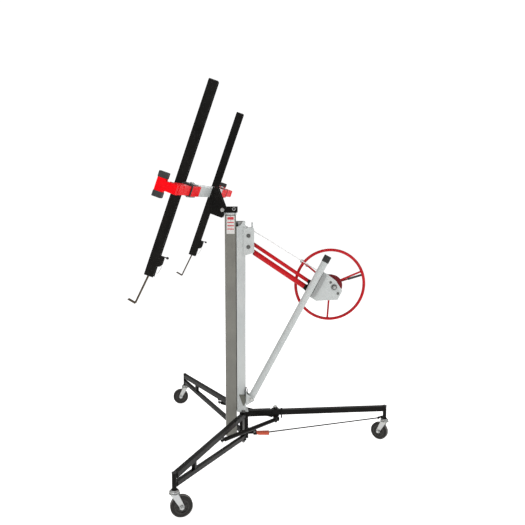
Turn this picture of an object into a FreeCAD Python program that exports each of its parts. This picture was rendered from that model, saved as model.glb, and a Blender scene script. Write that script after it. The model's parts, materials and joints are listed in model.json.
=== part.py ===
"""Drywall lift: folding tripod on casters, three-stage mast, winch boom and tilting board cradle.

Millimetres, +Z up. The origin is on the floor, at the middle of the lift's footprint box.
The mast stands at HUB_X, HUB_Y. +X points from the mast to the winch, where the operator stands.
"""
import FreeCAD, Part
import math
import os

V = FreeCAD.Vector
os.makedirs("parts", exist_ok=True)

# ---------------------------------------------------------------- driving dimensions
HUB_X = -149.0
HUB_Y = -26.6

WALL = 2.5
RUNNING = 0.05

# casters
WHEEL_R = 50.0
TYRE_W = 28.0
TYRE_INNER_R = 34.0
CASTER_TRAIL = 30.0
CASTER_TOP = 128.0
AXLE_R = 4.0
STEM_R = 5.0

# tripod
LEG_TUBE = 25.0
LEG_Z = 190.5
LEG_LENGTH = 800.0
LEG_ANGLE = 116.0
LEG_PIN_X = 10.0
LEG_PIN_Y = 40.0
PIN_R = 6.0
LOWER_TUBE = 21.0
LOWER_HUB_Z = 64.0
LOWER_POST_Z = 150.0
STAY_AT = 0.76
POST_R = 10.5
REAR_POST_X = 835.0
REAR_TUBE = 28.0
REAR_Z = 190.0
SLEEVE_END = 168.0
HUB_FRONT = 38.0
HUB_HALF_Y = 24.0

# spreaders and their sliding collar
SPREADER_AT = 290.0
SPREADER_R = 11.0
SPREADER_Z = 155.0
COLLAR_X = 195.0
COLLAR_PIN_Y = 26.0
COLLAR_PIN_R = 4.0

# brake pedal and its rod
PEDAL_X = 74.0
PEDAL_Z = 84.0
ROD_START_X = 84.0
ROD_START_Y = 9.0
ROD_START_Z = 61.0
ROD_END_X = 808.0
ROD_END_Z = 134.0
ROD_R = 3.5

# mast
MAST_HALF_X = 24.0
MAST_HALF_Y = 37.0
MAST_WALL = 3.0
MAST_BASE_Z = 213.0
MAST_TOP_Z = 1278.0
SLOT_HALF = 18.0
COLUMN_X = -56.0
FIRST_HALF_X = 30.0
FIRST_HALF_Y = 32.0
FIRST_BOTTOM = 70.0
SECTION_TOP = 1313.0
SECOND_HALF_X = 25.0
SECOND_HALF_Y = 27.0
SECOND_BOTTOM = 92.0
SHEAVE_X = -2.0
SHEAVE_Z = 1248.0
SHEAVE_R = 21.0
GROOVE_R = 16.0
CABLE_R = 2.5
CABLE_GAP = 0.3

# boom and winch
BOOM_PIVOT_X = 40.0
BOOM_PIVOT_Z = 1138.0
BOOM_SLOPE = 34.3
BOOM_LENGTH = 402.0
BOOM_ROOT_X = 73.5
CONNECTOR_END = 480.0
LOWER_BOOM_R = 15.0
UPPER_BOOM_R = 10.5
LOWER_BOOM_AT = -8.0
UPPER_BOOM_AT = 28.5
HOUSING_LOW = (-135.0, -54.0)
HOUSING_HIGH = (-59.0, 86.0)
WALL_PART = 0.72
SHAFT_X = 521.0
SHAFT_Z = 908.0
SHAFT_R = 8.0
NEAR_PLATE_Y = -26.0
FAR_PLATE_Y = 31.0
PLATE_T = 3.0
WALL_T = 3.5
DRUM_R = 27.0
FLANGE_R = 38.0
DISC_R = 62.0
WHEEL_PLANE_Y = 84.0
RIM_R = 200.0
RIM_TUBE_R = 8.5
SPOKE_ANGLES = (140.0, 266.0, 22.0)

# strut
STRUT_FOOT_X = 52.0
STRUT_FOOT_Z = 293.0
STRUT_TOP_X = 481.0
STRUT_TOP_Z = 1086.0
STRUT_Y = -52.0
STRUT_R = 19.0

# cradle: local x runs along the arms, local z is the board's normal, the origin is the tilt hinge
CRADLE_YAW = 9.84
CRADLE_TILT = 70.5
HINGE_X = -38.0
HINGE_Z = 1340.0
BAR_A = 66.0
BAR_N = 115.0
BAR_SIZE = 50.0
BAR_HALF = 580.0
ARM_Y = 530.0
ARM_LOW = -375.0
ARM_HIGH = 567.0
ARM_W = 32.0
ARM_N0 = 140.0
ARM_N1 = 185.0
OUTRIGGER_TUBE = 42.0
TEE_Y = 861.0
HOOK_WIRE_R = 3.0
HOOK_EYE_A = -361.0
HOOK_EYE_N = 164.0
HOOK_A = -522.0
HOOK_N = 184.0
HOOK_LIP = 36.0


# ---------------------------------------------------------------- shape helpers
def block(x0, x1, y0, y1, z0, z1):
    return Part.makeBox(x1 - x0, y1 - y0, z1 - z0, V(x0, y0, z0))


def rod(start, end, radius):
    axis = end.sub(start)
    return Part.makeCylinder(radius, axis.Length, start, axis)


def upright(x, y, z0, z1, radius):
    return Part.makeCylinder(radius, z1 - z0, V(x, y, z0), V(0, 0, 1))


def across(x, z, y0, y1, radius):
    return Part.makeCylinder(radius, y1 - y0, V(x, y0, z), V(0, 1, 0))


def plate_xz(points, y0, y1):
    corners = [V(x, y0, z) for x, z in points]
    face = Part.Face(Part.makePolygon(corners + [corners[0]]))
    return face.extrude(V(0, y1 - y0, 0))


def joined(first, *others):
    return first.fuse(list(others)).removeSplitter()


def square_tube(length, side, wall):
    outer = block(0, length, -side / 2, side / 2, -side / 2, side / 2)
    inner = side / 2 - wall
    return outer.cut(block(-1, length + 1, -inner, inner, -inner, inner))


def turned(shape, angle, axis, centre=V(0, 0, 0)):
    out = shape.copy()
    out.rotate(centre, axis, angle)
    return out


def moved(shape, x, y, z):
    out = shape.copy()
    out.translate(V(x, y, z))
    return out


def along(shape, start, end):
    """Lay a shape built along +X from the origin onto the line from start to end, in its upright plane."""
    d = end.sub(start)
    flat = math.hypot(d.x, d.y)
    out = turned(shape, -math.degrees(math.atan2(d.z, flat)), V(0, 1, 0))
    out = turned(out, math.degrees(math.atan2(d.y, d.x)), V(0, 0, 1))
    return moved(out, start.x, start.y, start.z)


def save(node, *shapes):
    placed = [moved(shape, HUB_X, HUB_Y, 0) for shape in shapes]
    solids = [solid for shape in placed for solid in shape.Solids]
    out = solids[0] if len(solids) == 1 else Part.makeCompound(solids)
    out.exportStep("parts/" + node + ".step")


# ---------------------------------------------------------------- casters
def caster(name, x, y, trail):
    """A swivel fork with its stem, a wheel core and a tyre, trailing in the direction of the angle trail."""
    def place(shape):
        return moved(turned(shape, trail, V(0, 0, 1)), x, y, 0)

    half = TYRE_W / 2
    axle_x = CASTER_TRAIL
    cheek = [(-17, 110), (17, 110), (axle_x + 11, 56), (axle_x + 9, 42), (axle_x - 9, 42), (axle_x - 12, 54)]
    fork = joined(
        block(-17, 17, -half - 5, half + 5, 106, 110),
        plate_xz(cheek, -half - 5, -half - 2),
        plate_xz(cheek, half + 2, half + 5),
        upright(0, 0, 110, CASTER_TOP - 0.3, 17),
        upright(0, 0, CASTER_TOP - 1, 186, STEM_R),
        across(axle_x, WHEEL_R, -half - 9, half + 9, AXLE_R),
        across(axle_x, WHEEL_R, -half - 10, -half - 5, 8),
        across(axle_x, WHEEL_R, half + 5, half + 10, 8),
    )
    core = across(axle_x, WHEEL_R, -half + 1, half - 1, TYRE_INNER_R)
    for side in (-1, 1):
        recess = across(axle_x, WHEEL_R, side * half - 5, side * half + 5, 28).cut(
            across(axle_x, WHEEL_R, side * half - 6, side * half + 6, 12))
        core = core.cut(recess)
    core = joined(core, across(axle_x, WHEEL_R, -half - 1.5, half + 1.5, 10))
    core = core.cut(across(axle_x, WHEEL_R, -half - 5, half + 5, AXLE_R + RUNNING))
    tyre = across(axle_x, WHEEL_R, -half, half, WHEEL_R)
    rims = [edge for edge in tyre.Edges if edge.Curve.TypeId == "Part::GeomCircle"]
    tyre = tyre.makeFillet(6, rims)
    tyre = tyre.cut(across(axle_x, WHEEL_R, -half - 1, half + 1, TYRE_INNER_R))
    save(name + "_fork", place(fork))
    save(name + "_wheel", place(core))
    save(name + "_tyre", place(tyre))


# ---------------------------------------------------------------- tripod
def caster_post(x, y):
    post = upright(x, y, CASTER_TOP, 204, POST_R)
    return post, upright(x, y, CASTER_TOP - 1, 188, STEM_R + RUNNING)


def folding_leg(name, side):
    """One hinged leg, side +1 for the left one on +Y: a level tube with its post, and a braced lower tube."""
    pin = V(LEG_PIN_X, side * LEG_PIN_Y, 0)
    heading = side * LEG_ANGLE

    def place(shape):
        return moved(turned(shape, heading, V(0, 0, 1)), pin.x, pin.y, 0)

    half = LEG_TUBE / 2
    z0 = LEG_Z - half
    z1 = LEG_Z + half
    tube = moved(square_tube(LEG_LENGTH - 6, LEG_TUBE, WALL), 0, 0, LEG_Z)
    post, stem_bore = caster_post(LEG_LENGTH, 0)
    top = joined(tube, upright(0, 0, z0, z1, half), post, upright(SPREADER_AT, 0, 168, z0 + 2, 9))
    top = top.cut(upright(0, 0, z0 - 1, z1 + 1, PIN_R + RUNNING))
    top = top.cut(stem_bore)
    start = V(2, 0, LOWER_HUB_Z)
    end = V(LEG_LENGTH - POST_R + 1, 0, LOWER_POST_Z)
    length = end.sub(start).Length
    brace = along(square_tube(length, LOWER_TUBE, WALL), start, end)
    stay_x = STAY_AT * LEG_LENGTH
    stay_foot = LOWER_HUB_Z + STAY_AT * (LOWER_POST_Z - LOWER_HUB_Z)
    stay = block(stay_x - 9, stay_x + 9, -9, 9, stay_foot + 4, z0)
    brace = joined(brace, upright(0, 0, LOWER_HUB_Z - 10, LOWER_HUB_Z + 10, 13), stay)
    brace = brace.cut(post)
    brace = brace.cut(stem_bore)
    brace = brace.cut(upright(0, 0, 0, LOWER_HUB_Z + 20, PIN_R + RUNNING))
    save(name + "_leg_top_tube", place(top))
    save(name + "_leg_lower_tube", place(brace))


def hub():
    post = block(-8, HUB_FRONT, -HUB_HALF_Y, HUB_HALF_Y, 50, 209)
    post = post.cut(block(-9, HUB_FRONT - 5, -HUB_HALF_Y + 5, HUB_HALF_Y - 5, 49, 203))
    lugs = []
    bores = []
    for side in (-1, 1):
        y = side * LEG_PIN_Y
        for z0 in (172.5, 205.0, 48.0, 77.5):
            low, high = sorted((side * 20, y))
            bar = block(LEG_PIN_X - 16, LEG_PIN_X + 16, low, high, z0, z0 + 4)
            lugs.append(bar)
            lugs.append(upright(LEG_PIN_X, y, z0, z0 + 4, 16))
        bores.append(upright(LEG_PIN_X, y, 40, 214, PIN_R))
    ears = [block(HUB_FRONT - 1, PEDAL_X + 10, y, y + 4, PEDAL_Z - 12, PEDAL_Z + 12) for y in (-17, 13)]
    post = joined(post, *lugs, *ears)
    post = post.cut(bores[0].fuse(bores[1]))
    post = post.cut(across(PEDAL_X, PEDAL_Z, -20, 20, AXLE_R))
    save("hub_post", post)
    pins = []
    for side in (-1, 1):
        y = side * LEG_PIN_Y
        shank = upright(LEG_PIN_X, y, 44, 209, PIN_R)
        pins.append(joined(shank, upright(LEG_PIN_X, y, 209, 216, 10), upright(LEG_PIN_X, y, 40, 48, 9)))
    save("hub_hinge_pins", *pins)


def rear_leg():
    tube = moved(square_tube(REAR_POST_X - 5 - HUB_FRONT, REAR_TUBE, WALL), HUB_FRONT, 0, REAR_Z)
    post, stem_bore = caster_post(REAR_POST_X, 0)
    rod_eye = block(REAR_POST_X - 24, REAR_POST_X - 6, -7, 7, 131, 143)
    tube = joined(tube, post, rod_eye).cut(stem_bore)
    save("rear_leg_tube", tube)
    half = REAR_TUBE / 2
    sleeve = block(HUB_FRONT, SLEEVE_END, -half - 3, half + 3, REAR_Z - half - 3, REAR_Z + half + 3)
    sleeve = sleeve.cut(block(HUB_FRONT - 1, SLEEVE_END + 1, -half, half, REAR_Z - half, REAR_Z + half))
    save("rear_leg_sleeve", sleeve)


def brake():
    """Foot pedal on a cross pin in front of the hub, with the rod that passes beside its crank."""
    top = PEDAL_Z - 3
    lever = block(PEDAL_X - 8, PEDAL_X + 16, -12, 12, top - 5, top)
    pad = block(PEDAL_X + 15, PEDAL_X + 84, -20, 2, top - 5, top)
    crank = block(PEDAL_X - 4, PEDAL_X + 6, 5, 12, ROD_START_Z - 4, top - 3)
    pedal = joined(lever, pad, crank, across(PEDAL_X, PEDAL_Z, -12.5, 12.5, 8),
                   across(PEDAL_X, PEDAL_Z, -17, 17, AXLE_R - RUNNING))
    save("brake_pedal", pedal)
    save("brake_rod", rod(V(ROD_START_X, ROD_START_Y, ROD_START_Z), V(ROD_END_X, 0, ROD_END_Z), ROD_R))


def spreader(name, side):
    """A round bar from the sliding collar's pin to a folding leg, with flattened, drilled ends."""
    angle = math.radians(LEG_ANGLE)
    leg_x = LEG_PIN_X + SPREADER_AT * math.cos(angle)
    leg_y = side * (LEG_PIN_Y + SPREADER_AT * math.sin(angle))
    start = V(COLLAR_X, side * COLLAR_PIN_Y, SPREADER_Z)
    end = V(leg_x, leg_y, SPREADER_Z)
    length = end.sub(start).Length
    bar = rod(V(20, 0, 0), V(length - 20, 0, 0), SPREADER_R)
    shape = joined(bar, block(0, length, -8, 8, -3.5, 3.5), upright(0, 0, -3.5, 3.5, 8),
                   upright(length, 0, -3.5, 3.5, 8))
    for x in (0, length):
        shape = shape.cut(upright(x, 0, -5, 5, COLLAR_PIN_R + RUNNING))
    save(name + "_spreader", along(shape, start, end))


def collar():
    gap = REAR_TUBE / 2 + 0.5
    half = gap + 4
    body = block(COLLAR_X - 20, COLLAR_X + 20, -half, half, REAR_Z - half, REAR_Z + half)
    body = body.cut(block(COLLAR_X - 21, COLLAR_X + 21, -gap, gap, REAR_Z - gap, REAR_Z + gap))
    body = joined(body, block(COLLAR_X - 14, COLLAR_X + 14, -36, 36, REAR_Z - half - 4, REAR_Z - half + 1))
    body = joined(body, upright(COLLAR_X, 0, REAR_Z + half - 1, REAR_Z + half + 7, 9))
    for side in (-1, 1):
        y = side * COLLAR_PIN_Y
        body = joined(body, upright(COLLAR_X, y, 147, REAR_Z - half, COLLAR_PIN_R))
        body = joined(body, upright(COLLAR_X, y, 143, 147.5, 8))
    body = body.cut(upright(COLLAR_X, 0, REAR_Z + gap - 1, REAR_Z + half + 14, STEM_R + RUNNING))
    save("slide_collar", body)
    pin = joined(upright(COLLAR_X, 0, REAR_Z + gap, REAR_Z + half + 14, STEM_R),
                 upright(COLLAR_X, 0, REAR_Z + half + 7.3, REAR_Z + half + 17, 11))
    save("collar_lock_pin", pin)


# ---------------------------------------------------------------- mast
def fixed_mast():
    rail = block(-MAST_HALF_X, MAST_HALF_X, -MAST_HALF_Y, MAST_HALF_Y, MAST_BASE_Z, MAST_TOP_Z)
    inner_x = MAST_HALF_X - MAST_WALL
    inner_y = MAST_HALF_Y - MAST_WALL
    rail = rail.cut(block(-inner_x, inner_x, -inner_y, inner_y, MAST_BASE_Z - 1, MAST_TOP_Z + 1))
    rail = rail.cut(block(-MAST_HALF_X - 1, 0, -SLOT_HALF, SLOT_HALF, MAST_BASE_Z - 1, MAST_TOP_Z + 1))
    rail = rail.cut(block(0, MAST_HALF_X + 1, -9, 9, SHEAVE_Z - 10, MAST_TOP_Z + 1))
    rail = rail.cut(across(-30, 1290, -60, 10, 42))
    foot = block(-MAST_HALF_X, MAST_HALF_X + 14, -MAST_HALF_Y, MAST_HALF_Y, MAST_BASE_Z - 4, MAST_BASE_Z)
    for side in (-1, 1):
        foot = foot.cut(upright(LEG_PIN_X, side * LEG_PIN_Y, 200, 220, 10.5))
        rail = rail.cut(upright(LEG_PIN_X, side * LEG_PIN_Y, 200, 217, 10.5))
    save("fixed_mast", joined(rail, foot))
    cheeks = [block(-14, 20.9, y, y + 4, SHEAVE_Z - 26, SHEAVE_Z + 27) for y in (-13, 9)]
    web = block(16, 20.9, -13, 13, SHEAVE_Z - 26, SHEAVE_Z - 18)
    ends = [block(16, 20.9, y, y + 21.2, SHEAVE_Z - 26, SHEAVE_Z - 18) for y in (-33.9, 12.7)]
    axle = across(SHEAVE_X, SHEAVE_Z, -11, 11, 5)
    save("mast_head", joined(web, cheeks[0], cheeks[1], ends[0], ends[1], axle))
    wheel = across(SHEAVE_X, SHEAVE_Z, -7, 7, SHEAVE_R)
    ring = Part.makeTorus(GROOVE_R + 4, 4, V(SHEAVE_X, 0, SHEAVE_Z), V(0, 1, 0))
    groove = across(SHEAVE_X, SHEAVE_Z, -4, 4, SHEAVE_R + 5).cut(
        across(SHEAVE_X, SHEAVE_Z, -5, 5, GROOVE_R + 4))
    wheel = wheel.cut(ring).cut(groove).cut(across(SHEAVE_X, SHEAVE_Z, -9, 9, 5 + RUNNING))
    save("top_sheave", wheel)


def box_section(half_x, half_y, z0, z1, wall):
    outer = block(COLUMN_X - half_x, COLUMN_X + half_x, -half_y, half_y, z0, z1)
    edges = [e for e in outer.Edges if abs(e.tangentAt(e.FirstParameter).z) > 0.9]
    outer = outer.makeFillet(4, edges)
    hx = half_x - wall
    hy = half_y - wall
    return outer.cut(block(COLUMN_X - hx, COLUMN_X + hx, -hy, hy, z0 - 1, z1 + 1))


def sections():
    save("first_section", box_section(FIRST_HALF_X, FIRST_HALF_Y, FIRST_BOTTOM, SECTION_TOP - 2, WALL))
    save("second_section", box_section(SECOND_HALF_X, SECOND_HALF_Y, SECOND_BOTTOM, SECTION_TOP, WALL))
    back = COLUMN_X + FIRST_HALF_X
    shoes = []
    cable_x = SHEAVE_X - GROOVE_R - CABLE_R - CABLE_GAP
    for z0 in (218.0, 270.0):
        neck = block(back, -MAST_HALF_X + MAST_WALL + 0.5, -SLOT_HALF + 0.5, SLOT_HALF - 0.5, z0, z0 + 40)
        head = block(-MAST_HALF_X + MAST_WALL + 0.5, 12, -MAST_HALF_Y + 4, MAST_HALF_Y - 4, z0, z0 + 40)
        shoes.append(joined(neck, head).cut(upright(cable_x, 0, z0 - 1, z0 + 41, CABLE_R + 1)))
    save("guide_shoes", *shoes)
    plate = upright(COLUMN_X, 0, SECTION_TOP, SECTION_TOP + 11, 34)
    kingpin = upright(COLUMN_X, 0, SECTION_TOP + 11, SECTION_TOP + 30, 9)
    cap = upright(COLUMN_X, 0, SECTION_TOP + 17.4, SECTION_TOP + 24, 14)
    spigot = block(COLUMN_X - 22, COLUMN_X + 22, -24, 24, SECTION_TOP - 30, SECTION_TOP)
    save("section_top_plate", joined(plate, kingpin, cap, spigot))


# ---------------------------------------------------------------- boom and winch
def on_boom(distance, offset):
    """A point on the boom: distance from its pivot, and offset above the lower tube's axis."""
    slope = math.radians(BOOM_SLOPE)
    x = BOOM_PIVOT_X + distance * math.cos(slope) + offset * math.sin(slope)
    z = BOOM_PIVOT_Z - distance * math.sin(slope) + offset * math.cos(slope)
    return V(x, 0, z)


def boom_bracket():
    outline = [(13, 1242), (68, 1242), (72, 1236), (72, 1110), (58, 1102), (13, 1089)]
    plates = []
    for y0 in (-MAST_HALF_Y - 4, MAST_HALF_Y):
        plate = plate_xz(outline, y0, y0 + 4)
        for x, z in ((BOOM_PIVOT_X, BOOM_PIVOT_Z), (BOOM_PIVOT_X + 1, 1199)):
            plate = plate.cut(across(x, z, -60, 60, PIN_R))
        plates.append(plate)
    save("boom_bracket_plates", *plates)
    bolts = []
    for x, z in ((BOOM_PIVOT_X, BOOM_PIVOT_Z), (BOOM_PIVOT_X + 1, 1199)):
        shank = across(x, z, -MAST_HALF_Y - 4, MAST_HALF_Y + 4, PIN_R)
        bolts.append(joined(shank, across(x, z, -MAST_HALF_Y - 10, -MAST_HALF_Y - 4, 10),
                            across(x, z, MAST_HALF_Y + 4, MAST_HALF_Y + 12, 10)))
    save("boom_bracket_bolts", *bolts)


def boom_tube(radius, offset):
    """A tube along the boom, mitred to the upright root plate."""
    start = on_boom(0, offset)
    end = on_boom(BOOM_LENGTH, offset)
    tube = rod(start, end, radius).cut(rod(start, end, radius - WALL))
    return tube.cut(block(0, BOOM_ROOT_X, -40, 40, 1000, 1300))


def boom():
    save("boom_lower_tube", boom_tube(LOWER_BOOM_R, LOWER_BOOM_AT))
    save("boom_upper_tube", boom_tube(UPPER_BOOM_R, UPPER_BOOM_AT))
    root = joined(
        block(BOOM_ROOT_X - 5.5, BOOM_ROOT_X, -16, 16, BOOM_PIVOT_Z - 46, BOOM_PIVOT_Z + 30),
        block(BOOM_PIVOT_X, BOOM_ROOT_X - 5, -9, 9, BOOM_PIVOT_Z - 11, BOOM_PIVOT_Z + 11),
        across(BOOM_PIVOT_X, BOOM_PIVOT_Z, -32, 32, 12),
    )
    save("boom_end_plate", root.cut(across(BOOM_PIVOT_X, BOOM_PIVOT_Z, -40, 40, PIN_R + RUNNING)))
    low = LOWER_BOOM_AT - 17
    high = UPPER_BOOM_AT + 13
    fitting = joined(
        block(BOOM_LENGTH, BOOM_LENGTH + 5, -17, 17, low, high),
        block(BOOM_LENGTH, CONNECTOR_END, 12, 17, low, high),
        block(BOOM_LENGTH, CONNECTOR_END, -17, -12, low, high),
    )
    fitting = turned(moved(fitting, BOOM_PIVOT_X, 0, BOOM_PIVOT_Z), BOOM_SLOPE, V(0, 1, 0),
                     V(BOOM_PIVOT_X, 0, BOOM_PIVOT_Z))
    save("boom_connector", fitting.cut(housing_void()))


def housing_outline():
    points = [HOUSING_LOW, (-101, -76), (22, -72), (48, -21), (11, 36), (-35, 71), HOUSING_HIGH]
    return [(SHAFT_X + x, SHAFT_Z + z) for x, z in points]


def housing_void():
    return plate_xz(housing_outline(), NEAR_PLATE_Y, FAR_PLATE_Y + PLATE_T)


def winch():
    near = plate_xz(housing_outline(), NEAR_PLATE_Y, NEAR_PLATE_Y + PLATE_T)
    far = plate_xz(housing_outline(), FAR_PLATE_Y, FAR_PLATE_Y + PLATE_T)
    low = V(SHAFT_X + HOUSING_LOW[0], 0, SHAFT_Z + HOUSING_LOW[1])
    high = low.add(V(HOUSING_HIGH[0] - HOUSING_LOW[0], 0, HOUSING_HIGH[1] - HOUSING_LOW[1]) * WALL_PART)
    wall = plate_xz([(low.x, low.z), (low.x + WALL_T, low.z), (high.x + WALL_T, high.z), (high.x, high.z)],
                    NEAR_PLATE_Y, FAR_PLATE_Y + PLATE_T)
    spacers = []
    for x, z in ((-60, -60), (-2, -61)):
        spacers.append(across(SHAFT_X + x, SHAFT_Z + z, NEAR_PLATE_Y, FAR_PLATE_Y + PLATE_T, 5))
    housing = joined(near, far, wall, *spacers)
    housing = housing.cut(across(SHAFT_X, SHAFT_Z, -60, 60, SHAFT_R + RUNNING))
    save("winch_housing", housing)
    drum = joined(
        across(SHAFT_X, SHAFT_Z, NEAR_PLATE_Y + PLATE_T + 2, FAR_PLATE_Y - 2, DRUM_R),
        across(SHAFT_X, SHAFT_Z, NEAR_PLATE_Y + PLATE_T + 2, NEAR_PLATE_Y + PLATE_T + 5, FLANGE_R),
        across(SHAFT_X, SHAFT_Z, FAR_PLATE_Y - 5, FAR_PLATE_Y - 2, FLANGE_R),
        across(SHAFT_X, SHAFT_Z, NEAR_PLATE_Y - 8, WHEEL_PLANE_Y + 10, SHAFT_R),
        across(SHAFT_X, SHAFT_Z, NEAR_PLATE_Y - 6, NEAR_PLATE_Y - 1, 15),
    )
    save("cable_drum", drum)
    disc = across(SHAFT_X, SHAFT_Z, FAR_PLATE_Y + 7, FAR_PLATE_Y + 12, DISC_R)
    disc = joined(disc, across(SHAFT_X, SHAFT_Z, FAR_PLATE_Y + 5, FAR_PLATE_Y + 22, 20))
    save("brake_disc", disc.cut(across(SHAFT_X, SHAFT_Z, 0, 100, SHAFT_R)))
    rim = Part.makeTorus(RIM_R, RIM_TUBE_R, V(SHAFT_X, WHEEL_PLANE_Y, SHAFT_Z), V(0, 1, 0))
    bars = [across(SHAFT_X, SHAFT_Z, WHEEL_PLANE_Y - 13, WHEEL_PLANE_Y + 9, 22)]
    centre = V(SHAFT_X, WHEEL_PLANE_Y, SHAFT_Z)
    for angle in SPOKE_ANGLES:
        direction = V(math.cos(math.radians(angle)), 0, math.sin(math.radians(angle)))
        bars.append(rod(centre.add(direction * 12), centre.add(direction * RIM_R), 5.5))
    wheel = joined(rim, *bars).cut(across(SHAFT_X, SHAFT_Z, 60, 120, SHAFT_R))
    angle = math.radians(SPOKE_ANGLES[0])
    knob_x = SHAFT_X + RIM_R * math.cos(angle)
    knob_z = SHAFT_Z + RIM_R * math.sin(angle)
    stud = across(knob_x, knob_z, WHEEL_PLANE_Y, WHEEL_PLANE_Y + 76, 4)
    washer = across(knob_x, knob_z, WHEEL_PLANE_Y + 72, WHEEL_PLANE_Y + 76, 7)
    save("handwheel", joined(wheel, stud, washer))
    grip = across(knob_x, knob_z, WHEEL_PLANE_Y + 10, WHEEL_PLANE_Y + 71.5, 12)
    save("wheel_knob", grip.cut(across(knob_x, knob_z, WHEEL_PLANE_Y, WHEEL_PLANE_Y + 90, 4 + RUNNING)))


def cables():
    """The taut run from the winch drum to the top sheave, and the drop inside the mast."""
    sheave = V(SHEAVE_X, 0, SHEAVE_Z)
    drum = V(SHAFT_X, 0, SHAFT_Z)
    sheave_r = GROOVE_R + CABLE_R + CABLE_GAP
    drum_r = DRUM_R + CABLE_R + CABLE_GAP
    span = drum.sub(sheave)
    tilt = math.atan2(span.z, span.x) + math.pi / 2 + math.asin((drum_r - sheave_r) / span.Length)
    normal = V(math.cos(tilt), 0, math.sin(tilt))
    save("cable_run", rod(sheave.add(normal * sheave_r), drum.add(normal * drum_r), CABLE_R))
    save("cable_drop", upright(SHEAVE_X - sheave_r, 0, 311, SHEAVE_Z, CABLE_R))


def strut():
    foot = V(STRUT_FOOT_X, STRUT_Y, STRUT_FOOT_Z)
    top = V(STRUT_TOP_X, STRUT_Y, STRUT_TOP_Z)
    direction = top.sub(foot).normalize()
    start = foot.add(direction * -14)
    cap_start = top.add(direction * -38)
    tube = rod(start, cap_start, STRUT_R).cut(rod(start, cap_start, STRUT_R - WALL))
    tube = joined(tube, across(foot.x, foot.z, STRUT_Y - 18.5, STRUT_Y + 18.5, 13))
    tube = tube.cut(across(foot.x, foot.z, STRUT_Y - 30, STRUT_Y + 30, PIN_R + RUNNING))
    save("strut_tube", tube)
    cap = rod(cap_start, top, STRUT_R + 2)
    save("strut_cap", cap)
    face = MAST_HALF_X
    back = block(face, face + 4, STRUT_Y - 25, 20, foot.z - 34, foot.z + 34)
    offsets = [(3, -32), (3, 32), (18, 20), (40, 12), (44, 8), (44, -9), (36, -14)]
    outline = [(face + x, foot.z + z) for x, z in offsets]
    ears = [plate_xz(outline, y, y + 4) for y in (STRUT_Y - 24, STRUT_Y + 20)]
    bracket = joined(back, *ears).cut(across(foot.x, foot.z, -100, 20, PIN_R))
    save("strut_foot_bracket", bracket)
    pin = joined(
        across(foot.x, foot.z, STRUT_Y - 24, STRUT_Y + 24, PIN_R),
        across(foot.x, foot.z, STRUT_Y - 30, STRUT_Y - 24, 10),
        across(foot.x, foot.z, STRUT_Y + 24, STRUT_Y + 31, 10),
    )
    save("strut_foot_pin", pin)


# ---------------------------------------------------------------- cradle
def swivelled(shape):
    """Place a shape whose x is measured from the swivel axis, turned by the cradle's yaw."""
    return moved(turned(shape, -CRADLE_YAW, V(0, 0, 1)), COLUMN_X, 0, 0)


def tilted(shape):
    """Place a shape in the cradle's frame: x along the arms, z normal to the board, origin at the hinge."""
    return swivelled(moved(turned(shape, -CRADLE_TILT, V(0, 1, 0)), HINGE_X, 0, HINGE_Z))


def saddle():
    base = SECTION_TOP + 12
    body = block(-50, 38, -26, 26, base, base + 5)
    walls = [block(-50, 38, y, y + 4, base, base + 33) for y in (-26, 22)]
    body = joined(body, *walls)
    body = body.cut(upright(0, 0, base - 1, base + 40, 9 + RUNNING))
    body = body.cut(across(HINGE_X, HINGE_Z, -40, 40, PIN_R))
    body = body.cut(across(26, base + 20, -40, 40, STEM_R + RUNNING))
    save("saddle", swivelled(body))
    pin = across(HINGE_X, HINGE_Z, -26, 26, PIN_R)
    pin = joined(pin, across(HINGE_X, HINGE_Z, -38, -26, PIN_R - 0.5),
                 across(HINGE_X, HINGE_Z, 26, 38, PIN_R - 0.5),
                 across(HINGE_X, HINGE_Z, -43, -37, 9), across(HINGE_X, HINGE_Z, 37, 43, 9))
    save("tilt_pin", swivelled(pin))
    latch = joined(across(26, base + 20, -38, 24, STEM_R), across(26, base + 20, -50, -30, 9))
    save("tilt_latch", swivelled(latch))


def tilt_bracket():
    outline = [(-43, -10), (12, -14), (107, 66), (100, 90), (30, 90), (-42, 62)]
    plates = []
    for y0 in (-31.5, 26.5):
        plate = plate_xz(outline, y0, y0 + 5)
        plates.append(plate.cut(across(0, 0, -50, 50, PIN_R - 0.5 + RUNNING)))
    web = block(34, 98, -31.5, 31.5, 84, 90)
    save("tilt_bracket", tilted(joined(web, *plates)))


def crossbar():
    half = BAR_SIZE / 2
    bore = half - 3
    bar = block(BAR_A - half, BAR_A + half, -BAR_HALF, BAR_HALF, BAR_N - half, BAR_N + half)
    bar = bar.cut(block(BAR_A - bore, BAR_A + bore, -BAR_HALF - 1, BAR_HALF + 1, BAR_N - bore, BAR_N + bore))
    save("crossbar", tilted(bar))


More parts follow.
